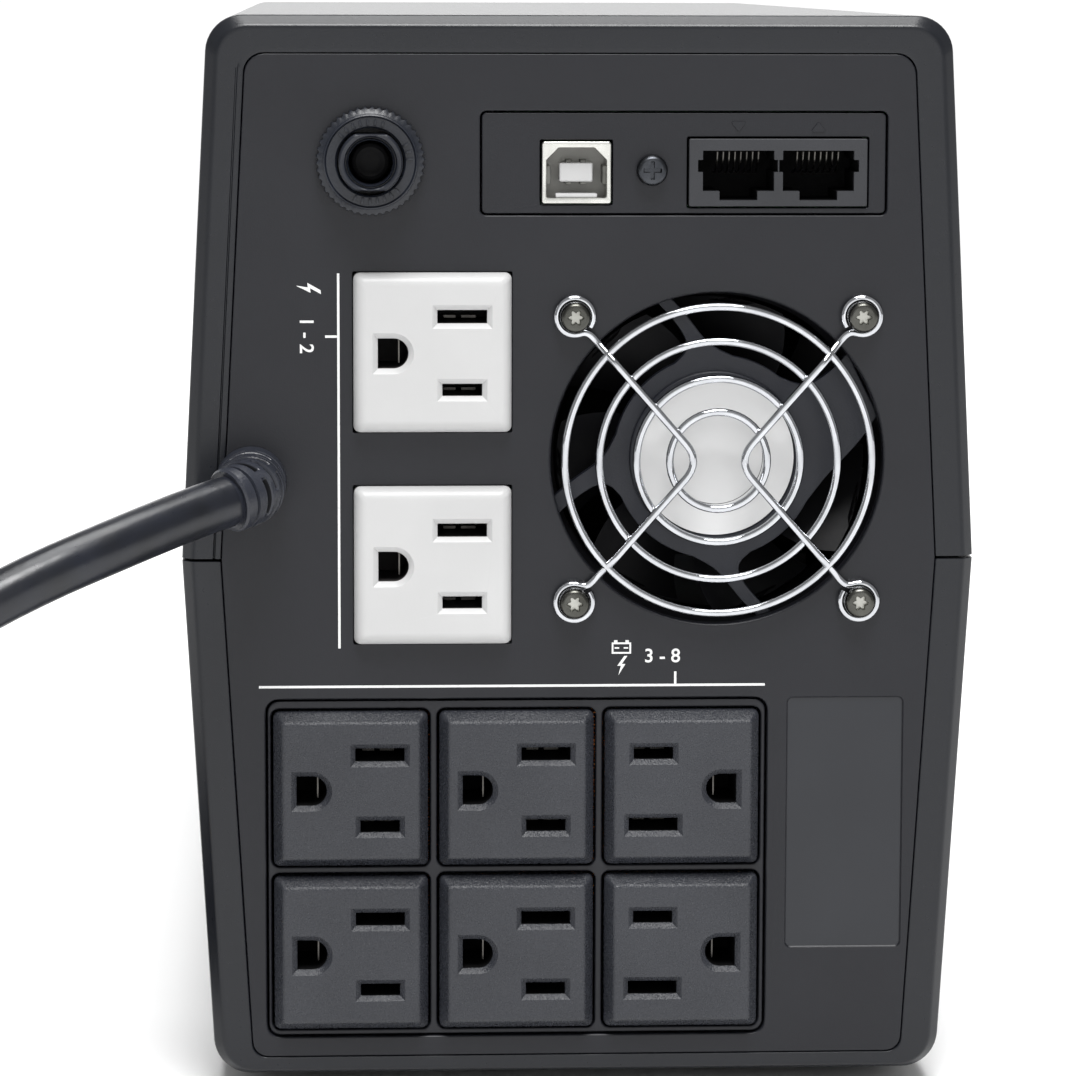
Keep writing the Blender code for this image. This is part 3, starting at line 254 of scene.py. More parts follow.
def laminate(name):
    """Green circuit board: solder mask with copper tracks showing beneath it."""
    look = Look(name, 0.32, specular=0.5, coat=0.3)
    bricks = look.nodes.new("ShaderNodeTexBrick")
    bricks.inputs["Scale"].default_value = 220.0
    bricks.inputs["Mortar Size"].default_value = 0.06
    bricks.inputs["Color1"].default_value = linear((18, 74, 44))
    bricks.inputs["Color2"].default_value = linear((22, 88, 50))
    bricks.inputs["Mortar"].default_value = linear((60, 128, 70))
    look.links.new(look.place, bricks.inputs["Vector"])
    look.feed("Base Color", bricks.outputs["Color"])
    look.feed("Roughness", look.span(look.noise(400.0), 0.24, 0.42))
    look.bump(bricks.outputs["Fac"], 0.00003)
    return look.material


def banded(name, dark, light, roughness, metallic, scale, axis, depth):
    """Fine parallel bands: stacked core sheets or wound wire."""
    look = Look(name, roughness, metallic=metallic)
    wave = look.nodes.new("ShaderNodeTexWave")
    wave.bands_direction = axis
    wave.inputs["Scale"].default_value = scale
    wave.inputs["Distortion"].default_value = 0.6
    wave.inputs["Detail"].default_value = 2.0
    look.links.new(look.place, wave.inputs["Vector"])
    look.feed("Base Color", look.ramp(wave.outputs["Fac"], (0.2, dark), (0.8, light)))
    look.feed("Roughness", look.span(look.noise(500.0), roughness - 0.08, roughness + 0.08))
    look.bump(wave.outputs["Fac"], depth)
    return look.material


def glass(name):
    """Smoked display window: black and glossy, with the faintest dust."""
    look = Look(name, 0.06, specular=0.6, coat=0.5)
    look.feed("Base Color", look.ramp(look.noise(90.0), (0.3, (10, 11, 14)), (0.7, (15, 17, 21))))
    look.feed("Roughness", look.span(look.noise(2400.0, 5.0), 0.03, 0.12))
    return look.material


CASE = moulded("case_plastic", (21, 23, 28), (24, 26, 31), 0.30, grain=3400.0, depth=0.00002, specular=0.38)
PANEL = moulded("panel_plastic", (24, 25, 30), (27, 28, 33), 0.40, grain=3000.0, depth=0.00002, specular=0.34)
WHITE = moulded("white_socket_plastic", (190, 190, 190), (195, 195, 195), 0.38, grain=1800.0, depth=0.00001)
SOCKET = moulded("black_socket_plastic", (38, 40, 46), (46, 48, 54), 0.28, grain=4200.0, depth=0.00015,
                 specular=0.5)
BLACK = moulded("black_plastic", (24, 26, 31), (30, 32, 38), 0.36, grain=2400.0, specular=0.45)
FAN_BLACK = moulded("fan_plastic", (8, 8, 10), (11, 11, 14), 0.48, grain=2600.0, depth=0.00002, specular=0.18)
STRUT = moulded("fan_strut_plastic", (27, 29, 36), (32, 34, 41), 0.40, specular=0.35)
BREAKER = moulded("breaker_plastic", (19, 22, 30), (26, 30, 39), 0.38, grain=2600.0, specular=0.5)
BATTERY = moulded("battery_plastic", (28, 30, 34), (36, 38, 42), 0.50)
RUBBER = moulded("foot_rubber", (20, 20, 22), (28, 28, 30), 0.75, grain=1800.0, depth=0.00008, specular=0.3)
# Painted shade: a near-black colour for the deep faces of socket slots and network ports, standing in for the
# shade inside them.
PAINTED_HOLE_SHADE = moulded("painted_hole_shade", (8, 8, 9), (11, 11, 13), 0.7, specular=0.15)
# Painted shade: a dark grey for the deep faces of the white sockets' slots, whose plastic is white, standing
# in for the shade inside them.
PAINTED_WHITE_SLOT_SHADE = moulded("painted_white_slot_shade", (52, 50, 50), (62, 60, 60), 0.6, specular=0.2)
LABEL_PAD = moulded("label_pad_plastic", (31, 33, 38), (34, 36, 41), 0.34, grain=3400.0, depth=0.00001,
                    specular=0.42)
PRINT = printed("white_print", (232, 232, 232))
GREY_PRINT = printed("grey_print", (104, 110, 122))
HUB_LABEL = moulded("hub_label", (216, 216, 216), (219, 219, 219), 0.45, grain=900.0, depth=0.000003)
HUB_MIDDLE = moulded("hub_label_middle", (210, 210, 210), (214, 214, 214), 0.45, grain=900.0, depth=0.000003)
JACKET = jacket("cord_jacket")
RELIEF = moulded("relief_rubber", (30, 32, 40), (42, 45, 54), 0.34, grain=2200.0, depth=0.00008, specular=0.5)
# Painted shade: a near-black colour on the faces deep in the strain relief's slots, standing in for the shade
# in them.
PAINTED_RELIEF_SLOT_SHADE = moulded("painted_relief_slot_shade", (8, 9, 12), (12, 13, 17), 0.6, grain=1500.0, specular=0.2)
PLUG_PLASTIC = moulded("plug_plastic", (24, 26, 32), (32, 34, 42), 0.40, grain=1800.0, specular=0.45)
WEBBING = moulded("tie_webbing", (26, 26, 28), (38, 38, 41), 0.85, grain=2200.0, depth=0.00020, specular=0.2)
CHROME = metal("chrome_wire", (186, 188, 192), (204, 206, 210), 0.07, spread=0.03)
NICKEL = metal("nickel_plate", (192, 192, 187), (212, 212, 207), 0.24, brushed=(1.0, 1.0, 0.15))
SCREW_STEEL = metal("screw_steel", (70, 70, 66), (92, 92, 88), 0.26)
SCREW_RECESS = metal("screw_recess", (150, 150, 144), (186, 186, 180), 0.30)
BRASS = metal("blade_brass", (176, 146, 78), (204, 176, 106), 0.24, brushed=(1.0, 0.1, 1.0))
ALUMINIUM = metal("heat_aluminium", (150, 152, 155), (184, 186, 189), 0.36, brushed=(1.0, 0.1, 1.0))
PORT_GREY = moulded("port_grey", (150, 149, 145), (164, 163, 159), 0.45)
DARK_STEEL = metal("dark_steel", (84, 84, 80), (112, 112, 108), 0.35)
SCREW_BLACK = metal("blackened_screw", (56, 58, 62), (80, 82, 86), 0.34)
WIRE_DARK = metal("contact_wire", (70, 68, 66), (104, 102, 98), 0.28)
JACK = moulded("jack_plastic", (46, 47, 50), (53, 54, 58), 0.50, grain=2600.0)
BUTTON_BLACK = moulded("button_plastic", (14, 15, 18), (19, 21, 25), 0.28, specular=0.5)
# Black plastic, painted darker than the front buttons as shade at the bottom of the breaker's bore.
BUTTON_BLACK_AND_PAINTED_SHADE = moulded("breaker_button_black_and_painted_shade", (6, 6, 8), (9, 9, 11), 0.55, specular=0.14)
CAN = moulded("capacitor_sleeve", (20, 24, 40), (26, 31, 50), 0.28, specular=0.5, coat=0.3)
ICON = printed("display_icon", (150, 196, 206))
CORE = banded("core_steel", (70, 72, 74), (112, 114, 116), 0.45, 1.0, 500.0, "Y", 0.00008)
COPPER = banded("winding_copper", (128, 62, 26), (196, 112, 58), 0.34, 1.0, 420.0, "Z", 0.00020)
BOARD = laminate("circuit_laminate")
GLASS = glass("display_glass")


# Mesh helpers


def at_depth(outline, y):
    """An outline in X and Z at a depth y."""
    return [(point[0], y, point[1]) for point in outline]


def round_turns(segments):
    """The angles of even steps round a circle."""
    return [2 * math.pi * k / segments for k in range(segments)]


def circle(centre, radius, y, segments=48, flat=None):
    """A ring in X and Z; flat limits how far it reaches up and down."""
    ring = []
    for turn in round_turns(segments):
        rise = radius * math.sin(turn)
        if flat is not None:
            rise = max(-flat, min(flat, rise))
        ring.append((centre[0] + radius * math.cos(turn), y, centre[1] + rise))
    return ring


def rounded(corners, radii, steps=5, closed=True):
    """An outline's points with its corners rounded to arcs; an open outline keeps its two ends."""
    corners = [Vector(corner) for corner in corners]
    count = len(corners)
    points = []
    for i, corner in enumerate(corners):
        if not closed and i in (0, count - 1):
            points.append(corner)
            continue
        before = (corners[i - 1] - corner).normalized()
        after = (corners[(i + 1) % count] - corner).normalized()
        half = before.angle(after) / 2
        radius = max(radii[i], 0.00002)
        centre = corner + (before + after).normalized() * radius / math.sin(half)
        first = corner + before * radius / math.tan(half) - centre
        last = corner + after * radius / math.tan(half) - centre
        sweep = first.angle(last)
        for k in range(steps + 1):
            part = k / steps
            mixed = first * math.sin((1 - part) * sweep) + last * math.sin(part * sweep)
            points.append(centre + mixed / math.sin(sweep))
    return points


def rectangle(centre, size, radius=0.0, inset=0.0, steps=5):
    """A rounded rectangle in X and Z, drawn in by inset."""
    x, z = centre
    half_x, half_z = size[0] / 2 - inset, size[1] / 2 - inset
    corners = [(x + sx * half_x, z + sz * half_z) for sx, sz in ((-1, -1), (1, -1), (1, 1), (-1, 1))]
    return rounded(corners, [radius] * 4, steps)


def eased(outline, radius, face_y, deeper, steps=3, convex=True):
    """Rings round a rounded edge, where deeper is the side's direction in Y.

    A convex edge runs from the side to the face, and any other from the face down into a hole.
    """
    rings = []
    for k in range(steps + 1):
        turn = math.pi / 2 * k / steps
        inset = radius * (1 - math.cos(turn))
        depth = radius * (1 - math.sin(turn))
        rings.append(at_depth(outline(inset if convex else -inset), face_y + deeper * depth))
    return rings if convex else rings[::-1]


def row_of(shape, ring):
    return [shape.verts.new(point) for point in ring]


def capped(shape, rings):
    """Rings of as many points each, bridged in order and closed at both ends."""
    rows = [row_of(shape, ring) for ring in rings]
    bridge(shape, rows)
    shape.faces.new(rows[0])
    shape.faces.new(rows[-1][::-1])
    return shape


def skin(rings):
    return capped(bmesh.new(), rings)


def bridge(shape, rows, closed=True):
    count = len(rows[0])
    for near, far in zip(rows, rows[1:]):
        for i in range(count if closed else count - 1):
            j = (i + 1) % count
            shape.faces.new((near[i], near[j], far[j], far[i]))


def looped(rings):
    """Rings that come round to the first ring again."""
    shape = bmesh.new()
    rows = [row_of(shape, ring) for ring in rings]
    bridge(shape, rows + rows[:1])
    return shape


def carved(outer, wells):
    """A block whose last outer ring is a flat face toward -Y, with wells that lead in from that face.

    A well is (rings, open), and an open one goes through to the back.
    """
    shape = bmesh.new()
    rows = [row_of(shape, ring) for ring in outer]
    bridge(shape, rows)
    rims, backs = [rows[-1]], [rows[0]]
    for rings, is_open in wells:
        well = [row_of(shape, ring) for ring in rings]
        bridge(shape, well)
        rims.append(well[0])
        if is_open:
            backs.append(well[-1])
        else:
            shape.faces.new(well[-1])
    fill(shape, rims)
    fill(shape, backs)
    return shape


def fill(shape, loops):
    """Fills a flat region between loops of vertices."""
    edges = []
    for loop in loops:
        for a, b in zip(loop, loop[1:] + loop[:1]):
            edges.append(shape.edges.get((a, b)) or shape.edges.new((a, b)))
    bmesh.ops.triangle_fill(shape, edges=edges, use_beauty=True)


def turned(centre, profile, segments=48):
    """A body turned about an axis along Y from (radius, y) points."""
    return skin([circle(centre, radius, y, segments) for radius, y in profile])


def prism(outline, near, far):
    return skin([at_depth(outline, near), at_depth(outline, far)])


def box(low, high, shape=None):
    """A box between two corners."""
    low, high = Vector(low), Vector(high)
    shape = shape or bmesh.new()
    middle = Matrix.Translation((low + high) / 2)
    bmesh.ops.create_cube(shape, size=1.0, matrix=middle @ Matrix.Diagonal((*(high - low), 1.0)))
    return shape


def block(shape, origin, x, y, z):
    """Adds a box to shape that spans x, y and z, each given as (low, high) from an origin."""
    spans = list(zip(origin, (x, y, z)))
    return box([place + span[0] for place, span in spans], [place + span[1] for place, span in spans], shape)


def tube(points, radius, sides=12, closed=False, shape=None):
    """A round wire along points, capped at its ends."""
    points = [Vector(point) for point in points]
    count = len(points)
    rings = []
    first = None
    for i, point in enumerate(points):
        before = points[i - 1] if closed or i > 0 else point
        after = points[(i + 1) % count] if closed or i < count - 1 else point
        along = (after - before).normalized()
        if first is None:
            first = along.cross(Vector((0.12, -1.0, 0.07))).normalized()
        first = (first - along * first.dot(along)).normalized()
        second = first.cross(along)
        rings.append([point + radius * (first * math.cos(t) + second * math.sin(t))
                      for t in round_turns(sides)])
    shape = shape or bmesh.new()
    if not closed:
        return capped(shape, rings)
    rows = [row_of(shape, ring) for ring in rings]
    bridge(shape, rows + rows[:1])
    return shape


def piece(name, shape, look, body="case", stands_for=(), sharp=32.0, bevel=0.0, cuts=()):
    """A finished piece of the object, smooth but for its real edges, riding on its body."""
    bmesh.ops.recalc_face_normals(shape, faces=shape.faces[:])
    mesh = bpy.data.meshes.new(name)
    shape.to_mesh(mesh)
    shape.free()
    mesh.materials.append(look)
    made = bpy.data.objects.new(name, mesh)
    bpy.context.scene.collection.objects.link(made)
    cutters = [cutter(made, cut_shape) for cut_shape in cuts]
    if bevel:
        edge = made.modifiers.new("edges", "BEVEL")
        edge.width = bevel
        edge.segments = 2
        edge.limit_method = "ANGLE"
        edge.angle_limit = math.radians(sharp)
    settle(made, sharp)
    for tool in cutters:
        bpy.data.objects.remove(tool)
    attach(made, body)
    if stands_for:
        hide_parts(*stands_for)
    return made


def settle(made, sharp=32.0):
    """Applies what is on a piece and shades it smooth with its flat faces kept flat."""
    bpy.context.view_layer.update()
    evaluated = made.evaluated_get(bpy.context.evaluated_depsgraph_get())
    mesh = bpy.data.meshes.new_from_object(evaluated)
    old = made.data
    made.modifiers.clear()
    made.data = mesh
    bpy.data.meshes.remove(old)
    mesh.name = made.name
    mesh.shade_smooth()
    mesh.set_sharp_from_angle(angle=math.radians(sharp))
    weighted = made.modifiers.new("weighted", "WEIGHTED_NORMAL")
    weighted.keep_sharp = True
    weighted.weight = 80


def cutter(target, cut_shape):
    """An object that cuts its shape from target, for as long as it takes to apply the cut."""
    bmesh.ops.recalc_face_normals(cut_shape, faces=cut_shape.faces[:])
    mesh = bpy.data.meshes.new("cutter")
    cut_shape.to_mesh(mesh)
    cut_shape.free()
    tool = bpy.data.objects.new("cutter", mesh)
    bpy.context.scene.collection.objects.link(tool)
    step = target.modifiers.new("cut", "BOOLEAN")
    step.object = tool
    step.operation = "DIFFERENCE"
    step.solver = "EXACT"
    return tool


def spun(centre, profile, segments=48):
    """A body turned about an upright axis from (radius, z) points."""
    return skin([[(centre[0] + radius * math.cos(t), centre[1] + radius * math.sin(t), z)
                  for t in round_turns(segments)] for radius, z in profile])


def mitred(centre, size, radius=0.00008):
    """Like around, but the corners stay as tight however far the outline is drawn in."""
    return lambda inset: rectangle(centre, size, radius, inset, 2)


def around(centre, size, radius):
    """A rounded rectangle's outline as a function of how far it is drawn in."""
    return lambda inset: rectangle(centre, size, radius - inset, inset)


def disc(centre, radius, segments=64):
    """A circle's outline in X and Z as a function of how far it is drawn in."""
    return lambda inset: [(centre[0] + (radius - inset) * math.cos(t),
                           centre[1] + (radius - inset) * math.sin(t)) for t in round_turns(segments)]


def stepped(outline, y, *steps):
    """An outline's rings, each step being how far it is drawn in and how far behind y it lies."""
    return [at_depth(outline(inset), y + behind) for inset, behind in steps]


def paint(made, look, chosen):
    """Gives a second look to the faces of a piece that are chosen by their place and direction."""
    made.data.materials.append(look)
    for polygon in made.data.polygons:
        if chosen(polygon.center, polygon.normal):
            polygon.material_index = 1


def wider(size, by):
    """A size grown by as much on every side, or shrunk where by is below 0."""
    return size[0] + 2 * by, size[1] + 2 * by


def through(outline, radius, face_y, back_y):
    """An open well with a rounded mouth."""
    rings = eased(outline, radius, face_y, 1, convex=False)
    return rings + [at_depth(outline(0.0), back_y)], True


# Power cord


CORD_RADIUS = 0.0044
CORD_LEAD = 0.0100
RELIEF_ROOT = (-0.0572, 0.1090)
RELIEF_STRAIGHT = 0.0120
RELIEF_BEND_RADIUS = 0.0090
RELIEF_BEND = 52.0
RELIEF_TILT = 15.0
RELIEF_ROOT_RADIUS = 0.0062
RELIEF_TIP_RADIUS = 0.0055
RELIEF_RINGS = 150
RELIEF_SLOT_DEPTH = 0.0010
RELIEF_SLOT_ROWS = 6
RELIEF_SLOTS_SPAN = (0.16, 0.86)
RELIEF_TIP_GROOVE = 0.92
RELIEF_TIP_GROOVE_HALF = 0.012
# The rings at its tip, as (how far past the last ring, the share of that ring's radius).
RELIEF_END = ((0.0004, 0.94), (0.0002, 0.84), (0.0002, 0.77), (0.00086, 0.77))
TIE_ANGLE = 135.0
TIE_WIDTH = 0.0118
TIE_THICK = 0.0007
TIE_Z = (0.0001, 0.0199)
TIE_REACH = (0.0363, 0.0684)
TIE_ROUND = 0.0035
CORD_ROUTE = (
    (-0.0800, -0.0355, 0.1023),
    (-0.0920, -0.0425, 0.0978),
    (-0.1040, -0.0478, 0.0920),
    (-0.1165, -0.0515, 0.0842),
    (-0.1285, -0.0540, 0.0738),
    (-0.1395, -0.0556, 0.0610),
    (-0.1495, -0.0565, 0.0470),
    (-0.1600, -0.0570, 0.0336),
    (-0.1715, -0.0565, 0.0223),
)
COIL_CENTRE = (-0.1825, -0.1601)
COIL_OUTER = 0.0630
COIL_INNER = 0.0427
COIL_LOWER_Z = 0.0056
COIL_UPPER_Z = 0.0144
COIL_PITCH = 0.0088
COIL_START = 268.0
COIL_STEP = 10.0
# How far round, in degrees from the start, the cord has come when it settles on the floor, starts and
# ends its climb to the upper layer, starts its way outward and leaves the coil for the plug.
COIL_SETTLED = 44.0
COIL_CLIMB = (790.0, 860.0)
COIL_OUTWARD = 850.0
COIL_LEAVE = 1622.0
COIL_END = 1694.6
ARRIVAL_Z = 0.0135
CORD_SPACING = 0.005
PLUG_X = -0.1317
PLUG_Z = 0.0302
PLUG_NUB_Y = -0.1480
PLUG_NUB_OVERLAP = 0.0020
PLUG_NECK_Y = -0.1620
PLUG_FACE_Y = -0.1980
# The grip's sections, as (step in Y, width, height, corner radius).
PLUG_NUB = ((0.0, 0.0098, 0.0098, 0.0048), (-0.0008, 0.0110, 0.0110, 0.0050),
            (-0.0050, 0.0118, 0.0115, 0.0052))
PLUG_NECK = ((0.0, 0.0140, 0.0130, 0.0055), (-0.0040, 0.0185, 0.0172, 0.0058),
             (-0.0085, 0.0240, 0.0212, 0.0060), (-0.0120, 0.0246, 0.0216, 0.0060))
PLUG_RIB = ((0.0, 0.0250, 0.0218, 0.0060), (-0.0006, 0.0238, 0.0208, 0.0058),
            (-0.0016, 0.0238, 0.0208, 0.0058), (-0.0022, 0.0250, 0.0218, 0.0060))
PLUG_FACE = ((0.0035, 0.0269, 0.0219, 0.0060), (0.0012, 0.0269, 0.0219, 0.0060),
             (0.0003, 0.0263, 0.0213, 0.0057), (0.0, 0.0253, 0.0203, 0.0052))
PLUG_RIB_Y = PLUG_NECK_Y - 0.0130
PLUG_RIB_PITCH = 0.0032
PLUG_RIB_COUNT = 5
BLADE_CORNER = 0.0016
BLADE_HOLE_RADIUS = 0.0015
BLADE_HOLE_FROM_TIP = 0.0035


def relief_path(steps=10):
    """The strain relief's middle line and the direction in which it ends."""
    tilt = math.radians(RELIEF_TILT)
    sideways = Vector((-math.cos(tilt), 0.0, -math.sin(tilt)))
    outward = Vector((0.0, -1.0, 0.0))
    root = Vector((RELIEF_ROOT[0], REAR_Y - GAP, RELIEF_ROOT[1]))
    knee = root + outward * RELIEF_STRAIGHT
    path = [root.lerp(knee, k / steps) for k in range(steps)]
    for k in range(steps + 1):
        turn = math.radians(RELIEF_BEND) * k / steps
        path.append(knee + outward * RELIEF_BEND_RADIUS * math.sin(turn)
                    + sideways * RELIEF_BEND_RADIUS * (1 - math.cos(turn)))
    turn = math.radians(RELIEF_BEND)
    return path, (outward * math.cos(turn) + sideways * math.sin(turn)).normalized()


def eased_step(value, low, high):
    """0 before low, 1 after high, and a smooth rise between them."""
    part = min(1.0, max(0.0, (value - low) / (high - low)))
    return part * part * (3 - 2 * part)


def coil_point(travelled):
    """The cord's middle after so many degrees of winding, clockwise as seen from above."""
    inward = COIL_OUTER - COIL_PITCH * travelled / 360
    outward = COIL_INNER + COIL_PITCH * (travelled - COIL_OUTWARD) / 360
    radius = max(inward, COIL_INNER) if travelled < COIL_OUTWARD else outward
    height = COIL_LOWER_Z + (ARRIVAL_Z - COIL_LOWER_Z) * (1 - eased_step(travelled, 0.0, COIL_SETTLED))
    height += (COIL_UPPER_Z - COIL_LOWER_Z) * eased_step(travelled, *COIL_CLIMB)
    leaving = eased_step(travelled, COIL_LEAVE, COIL_END)
    end_radius = math.hypot(PLUG_X - COIL_CENTRE[0], PLUG_NUB_Y - COIL_CENTRE[1])
    radius += (end_radius - radius) * leaving
    height += (PLUG_Z - height) * leaving
    turn = math.radians(COIL_START - travelled)
    x, y = COIL_CENTRE
    return Vector((x + radius * math.cos(turn), y + radius * math.sin(turn), height))


def cord_route():
    """The cord's whole route: strain relief, floor, coil, plug."""
    path, along = relief_path()
    tip = path[-1]
    route = [tip + along * 3 * GAP, tip + along * CORD_LEAD]
    route += [Vector((x, y + REAR_Y, z)) for x, y, z in CORD_ROUTE]
    travelled = 0.0
    while travelled < COIL_END - COIL_STEP / 2:
        route.append(coil_point(travelled))
        travelled += COIL_STEP
    route.append(Vector((PLUG_X, PLUG_NUB_Y + PLUG_NUB_OVERLAP, PLUG_Z)))
    route.append(Vector((PLUG_X, PLUG_NUB_Y - PLUG_NUB_OVERLAP, PLUG_Z)))
    return route


def even_points(points, spacing):
    """Points at even steps along one smooth curve through the given points."""
    padded = [2 * points[0] - points[1]] + points + [2 * points[-1] - points[-2]]
    fine = []
    for a, b, c, d in zip(padded, padded[1:], padded[2:], padded[3:]):
        for k in range(16):
            t = k / 16
            fine.append(0.5 * (2 * b + (c - a) * t + (2 * a - 5 * b + 4 * c - d) * t ** 2
                               + (3 * b - a - 3 * c + d) * t ** 3))
    fine.append(points[-1])
    lengths = [0.0]
    for a, b in zip(fine, fine[1:]):
        lengths.append(lengths[-1] + (b - a).length)
    count = round(lengths[-1] / spacing)
    even, place = [], 0
    for k in range(count + 1):
        target = lengths[-1] * k / count
        while place < len(fine) - 2 and lengths[place + 1] < target:
            place += 1
        span = max(lengths[place + 1] - lengths[place], 1e-9)
        even.append(fine[place].lerp(fine[place + 1], min(1.0, (target - lengths[place]) / span)))
    return even, lengths[-1]


def make_relief():
    """A tapered boot with rows of flex slots, broken by bridges that alternate from row to row."""
    path, along = relief_path(RELIEF_RINGS // 2)
    last = len(path) - 1
    sides = 96
    rings = []
    for i, middle in enumerate(path):
        ahead = path[min(i + 1, last)] - path[max(i - 1, 0)]
        ahead = Vector((0.0, -1.0, 0.0)) if i == 0 else (along if i == last else ahead.normalized())
        first = ahead.cross(Vector((0.0, 0.0, 1.0))).normalized()
        second = first.cross(ahead).normalized()
        part = i / last
        base = RELIEF_ROOT_RADIUS + (RELIEF_TIP_RADIUS - RELIEF_ROOT_RADIUS) * part
        ring = []
        for turn in round_turns(sides):
            radius = base - RELIEF_SLOT_DEPTH * relief_slot(part, turn)
            ring.append(middle + radius * (first * math.cos(turn) + second * math.sin(turn)))
        rings.append(ring)
    root = [path[0] + (point - path[0]) * 0.97 + Vector((0.0, 0.0002, 0.0)) for point in rings[0]]
    # The lip, the mouth and the neck that closes on the cord.
    end = [[path[-1] + along * reach + (point - path[-1]) * share for point in rings[-1]]
           for reach, share in RELIEF_END]
    made = piece("strain_relief_ribbed", skin([root] + rings + end), RELIEF,
                 stands_for=("strain_relief",), sharp=30.0)
    # Faces deep in the slots get a near-black colour: painted shade in the grooves.
    made.data.materials.append(PAINTED_RELIEF_SLOT_SHADE)
    for index, polygon in enumerate(made.data.polygons):
        i, k = divmod(index, sides)
        if 0 < i <= last and relief_slot((i - 0.5) / last, 2 * math.pi * (k + 0.5) / sides) > 0.55:
            polygon.material_index = 1
    return made


def relief_slot(part, turn):
    """How deep the boot's slots are at a place along and round it, from 0 to 1."""
    low, high = RELIEF_SLOTS_SPAN
    if not low < part < high:
        tip_groove = abs(part - RELIEF_TIP_GROOVE) / RELIEF_TIP_GROOVE_HALF
        return 0.7 * max(0.0, 1 - tip_groove ** 2)
    place = (part - low) / (high - low) * RELIEF_SLOT_ROWS
    row, within = int(place), place % 1.0
    across = eased_step(within, 0.22, 0.34) * (1 - eased_step(within, 0.66, 0.78))
    quarter = (turn + (math.pi / 4 if row % 2 else 0.0)) % (math.pi / 2)
    from_bridge = min(quarter, math.pi / 2 - quarter)
    return across * eased_step(from_bridge, 0.14, 0.22)


def make_tie():
    """A hook-and-loop strap round the coil's section, its loose end pressed down on top."""
    turn = math.radians(TIE_ANGLE)
    outward = Vector((math.cos(turn), math.sin(turn), 0.0))
    across = Vector((-math.sin(turn), math.cos(turn), 0.0))
    centre = Vector((*COIL_CENTRE, 0.0))

    def ring(thick, side):
        near, far = TIE_REACH[0] + thick, TIE_REACH[1] - thick
        low_z, high_z = TIE_Z[0] + thick, TIE_Z[1] - thick
        corners = [(near, low_z), (far, low_z), (far, high_z), (near, high_z)]
        return [centre + outward * p[0] + Vector((0, 0, p[1])) + across * side
                for p in rounded(corners, [TIE_ROUND - thick] * 4, 8)]

    half = TIE_WIDTH / 2
    shape = looped([ring(0.0, -half), ring(0.0, half), ring(TIE_THICK, half), ring(TIE_THICK, -half)])
    return piece("cord_tie_strap", shape, WEBBING, stands_for=("cord_tie",), bevel=0.0002)


def plug_rings():
    """The plug's grip from the cord to its face: nub, waist, finger ribs, face."""
    groups = [(PLUG_NUB_Y, PLUG_NUB), (PLUG_NECK_Y, PLUG_NECK)]
    groups += [(PLUG_RIB_Y - PLUG_RIB_PITCH * k, PLUG_RIB) for k in range(PLUG_RIB_COUNT)]
    groups.append((PLUG_FACE_Y, PLUG_FACE))
    return [at_depth(rectangle((PLUG_X, PLUG_Z), (width, height), radius, steps=8), start + step)
            for start, stations in groups for step, width, height, radius in stations]


def make_plug():
    """The moulded plug: its grip, rounded blades with their holes, and a round pin."""
    body = piece("plug_grip", skin(plug_rings()), PLUG_PLASTIC, stands_for=("plug_body",),
                 sharp=40.0)
    made = [body]
    face = PLUG_FACE_Y - GAP
    for name in ("plug_blade_line", "plug_blade_neutral"):
        low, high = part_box(name)
        corners = [(face, low.z), (low.y, low.z), (low.y, high.z), (face, high.z)]
        outline = rounded(corners, [0.0, BLADE_CORNER, BLADE_CORNER, 0.0], 5)
        hole_y, hole_z = low.y + BLADE_HOLE_FROM_TIP, (low.z + high.z) / 2
        hole = [(hole_y + BLADE_HOLE_RADIUS * math.cos(t), hole_z + BLADE_HOLE_RADIUS * math.sin(t))
                for t in round_turns(24)]
        shape = bmesh.new()
        loops = {}
        for x in (low.x, high.x):
            loops[x] = [row_of(shape, [(x, y, z) for y, z in loop]) for loop in (outline, hole)]
            fill(shape, loops[x])
        for near, far in zip(loops[low.x], loops[high.x]):
            bridge(shape, [near, far])
        made.append(piece(f"{name}_drilled", shape, BRASS, stands_for=(name,), bevel=0.00015))
    low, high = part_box("plug_ground_pin")
    radius = (high.x - low.x) / 2
    pin_centre = (PLUG_X, (low.z + high.z) / 2)
    profile = [(radius, face)]
    for k in range(6):
        turn = math.pi / 2 * k / 5
        profile.append((max(radius * math.cos(turn), 0.0002), low.y + radius * (1 - math.sin(turn))))
    pin = piece("plug_pin_rounded", turned(pin_centre, profile, 28), BRASS,
                stands_for=("plug_ground_pin",))
    return made + [pin]


def make_cord():
    points, length = even_points(cord_route(), CORD_SPACING)
    curve = bpy.data.curves.new("cord", "CURVE")
    curve.dimensions = "3D"
    curve.bevel_depth = CORD_RADIUS
    curve.bevel_resolution = 6
    curve.use_fill_caps = True
    spline = curve.splines.new("POLY")
    spline.points.add(len(points) - 1)
    for point, place in zip(spline.points, points):
        point.co = (*place, 1.0)
    spline.use_smooth = True
    curve.materials.append(JACKET)
    cord = bpy.data.objects.new("cord", curve)
    bpy.context.scene.collection.objects.link(cord)
    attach(cord, "case")
    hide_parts("power_cord", "cord_coil")
    relief = make_relief()
    along_it = [relief, make_tie()] + make_plug()


# Case


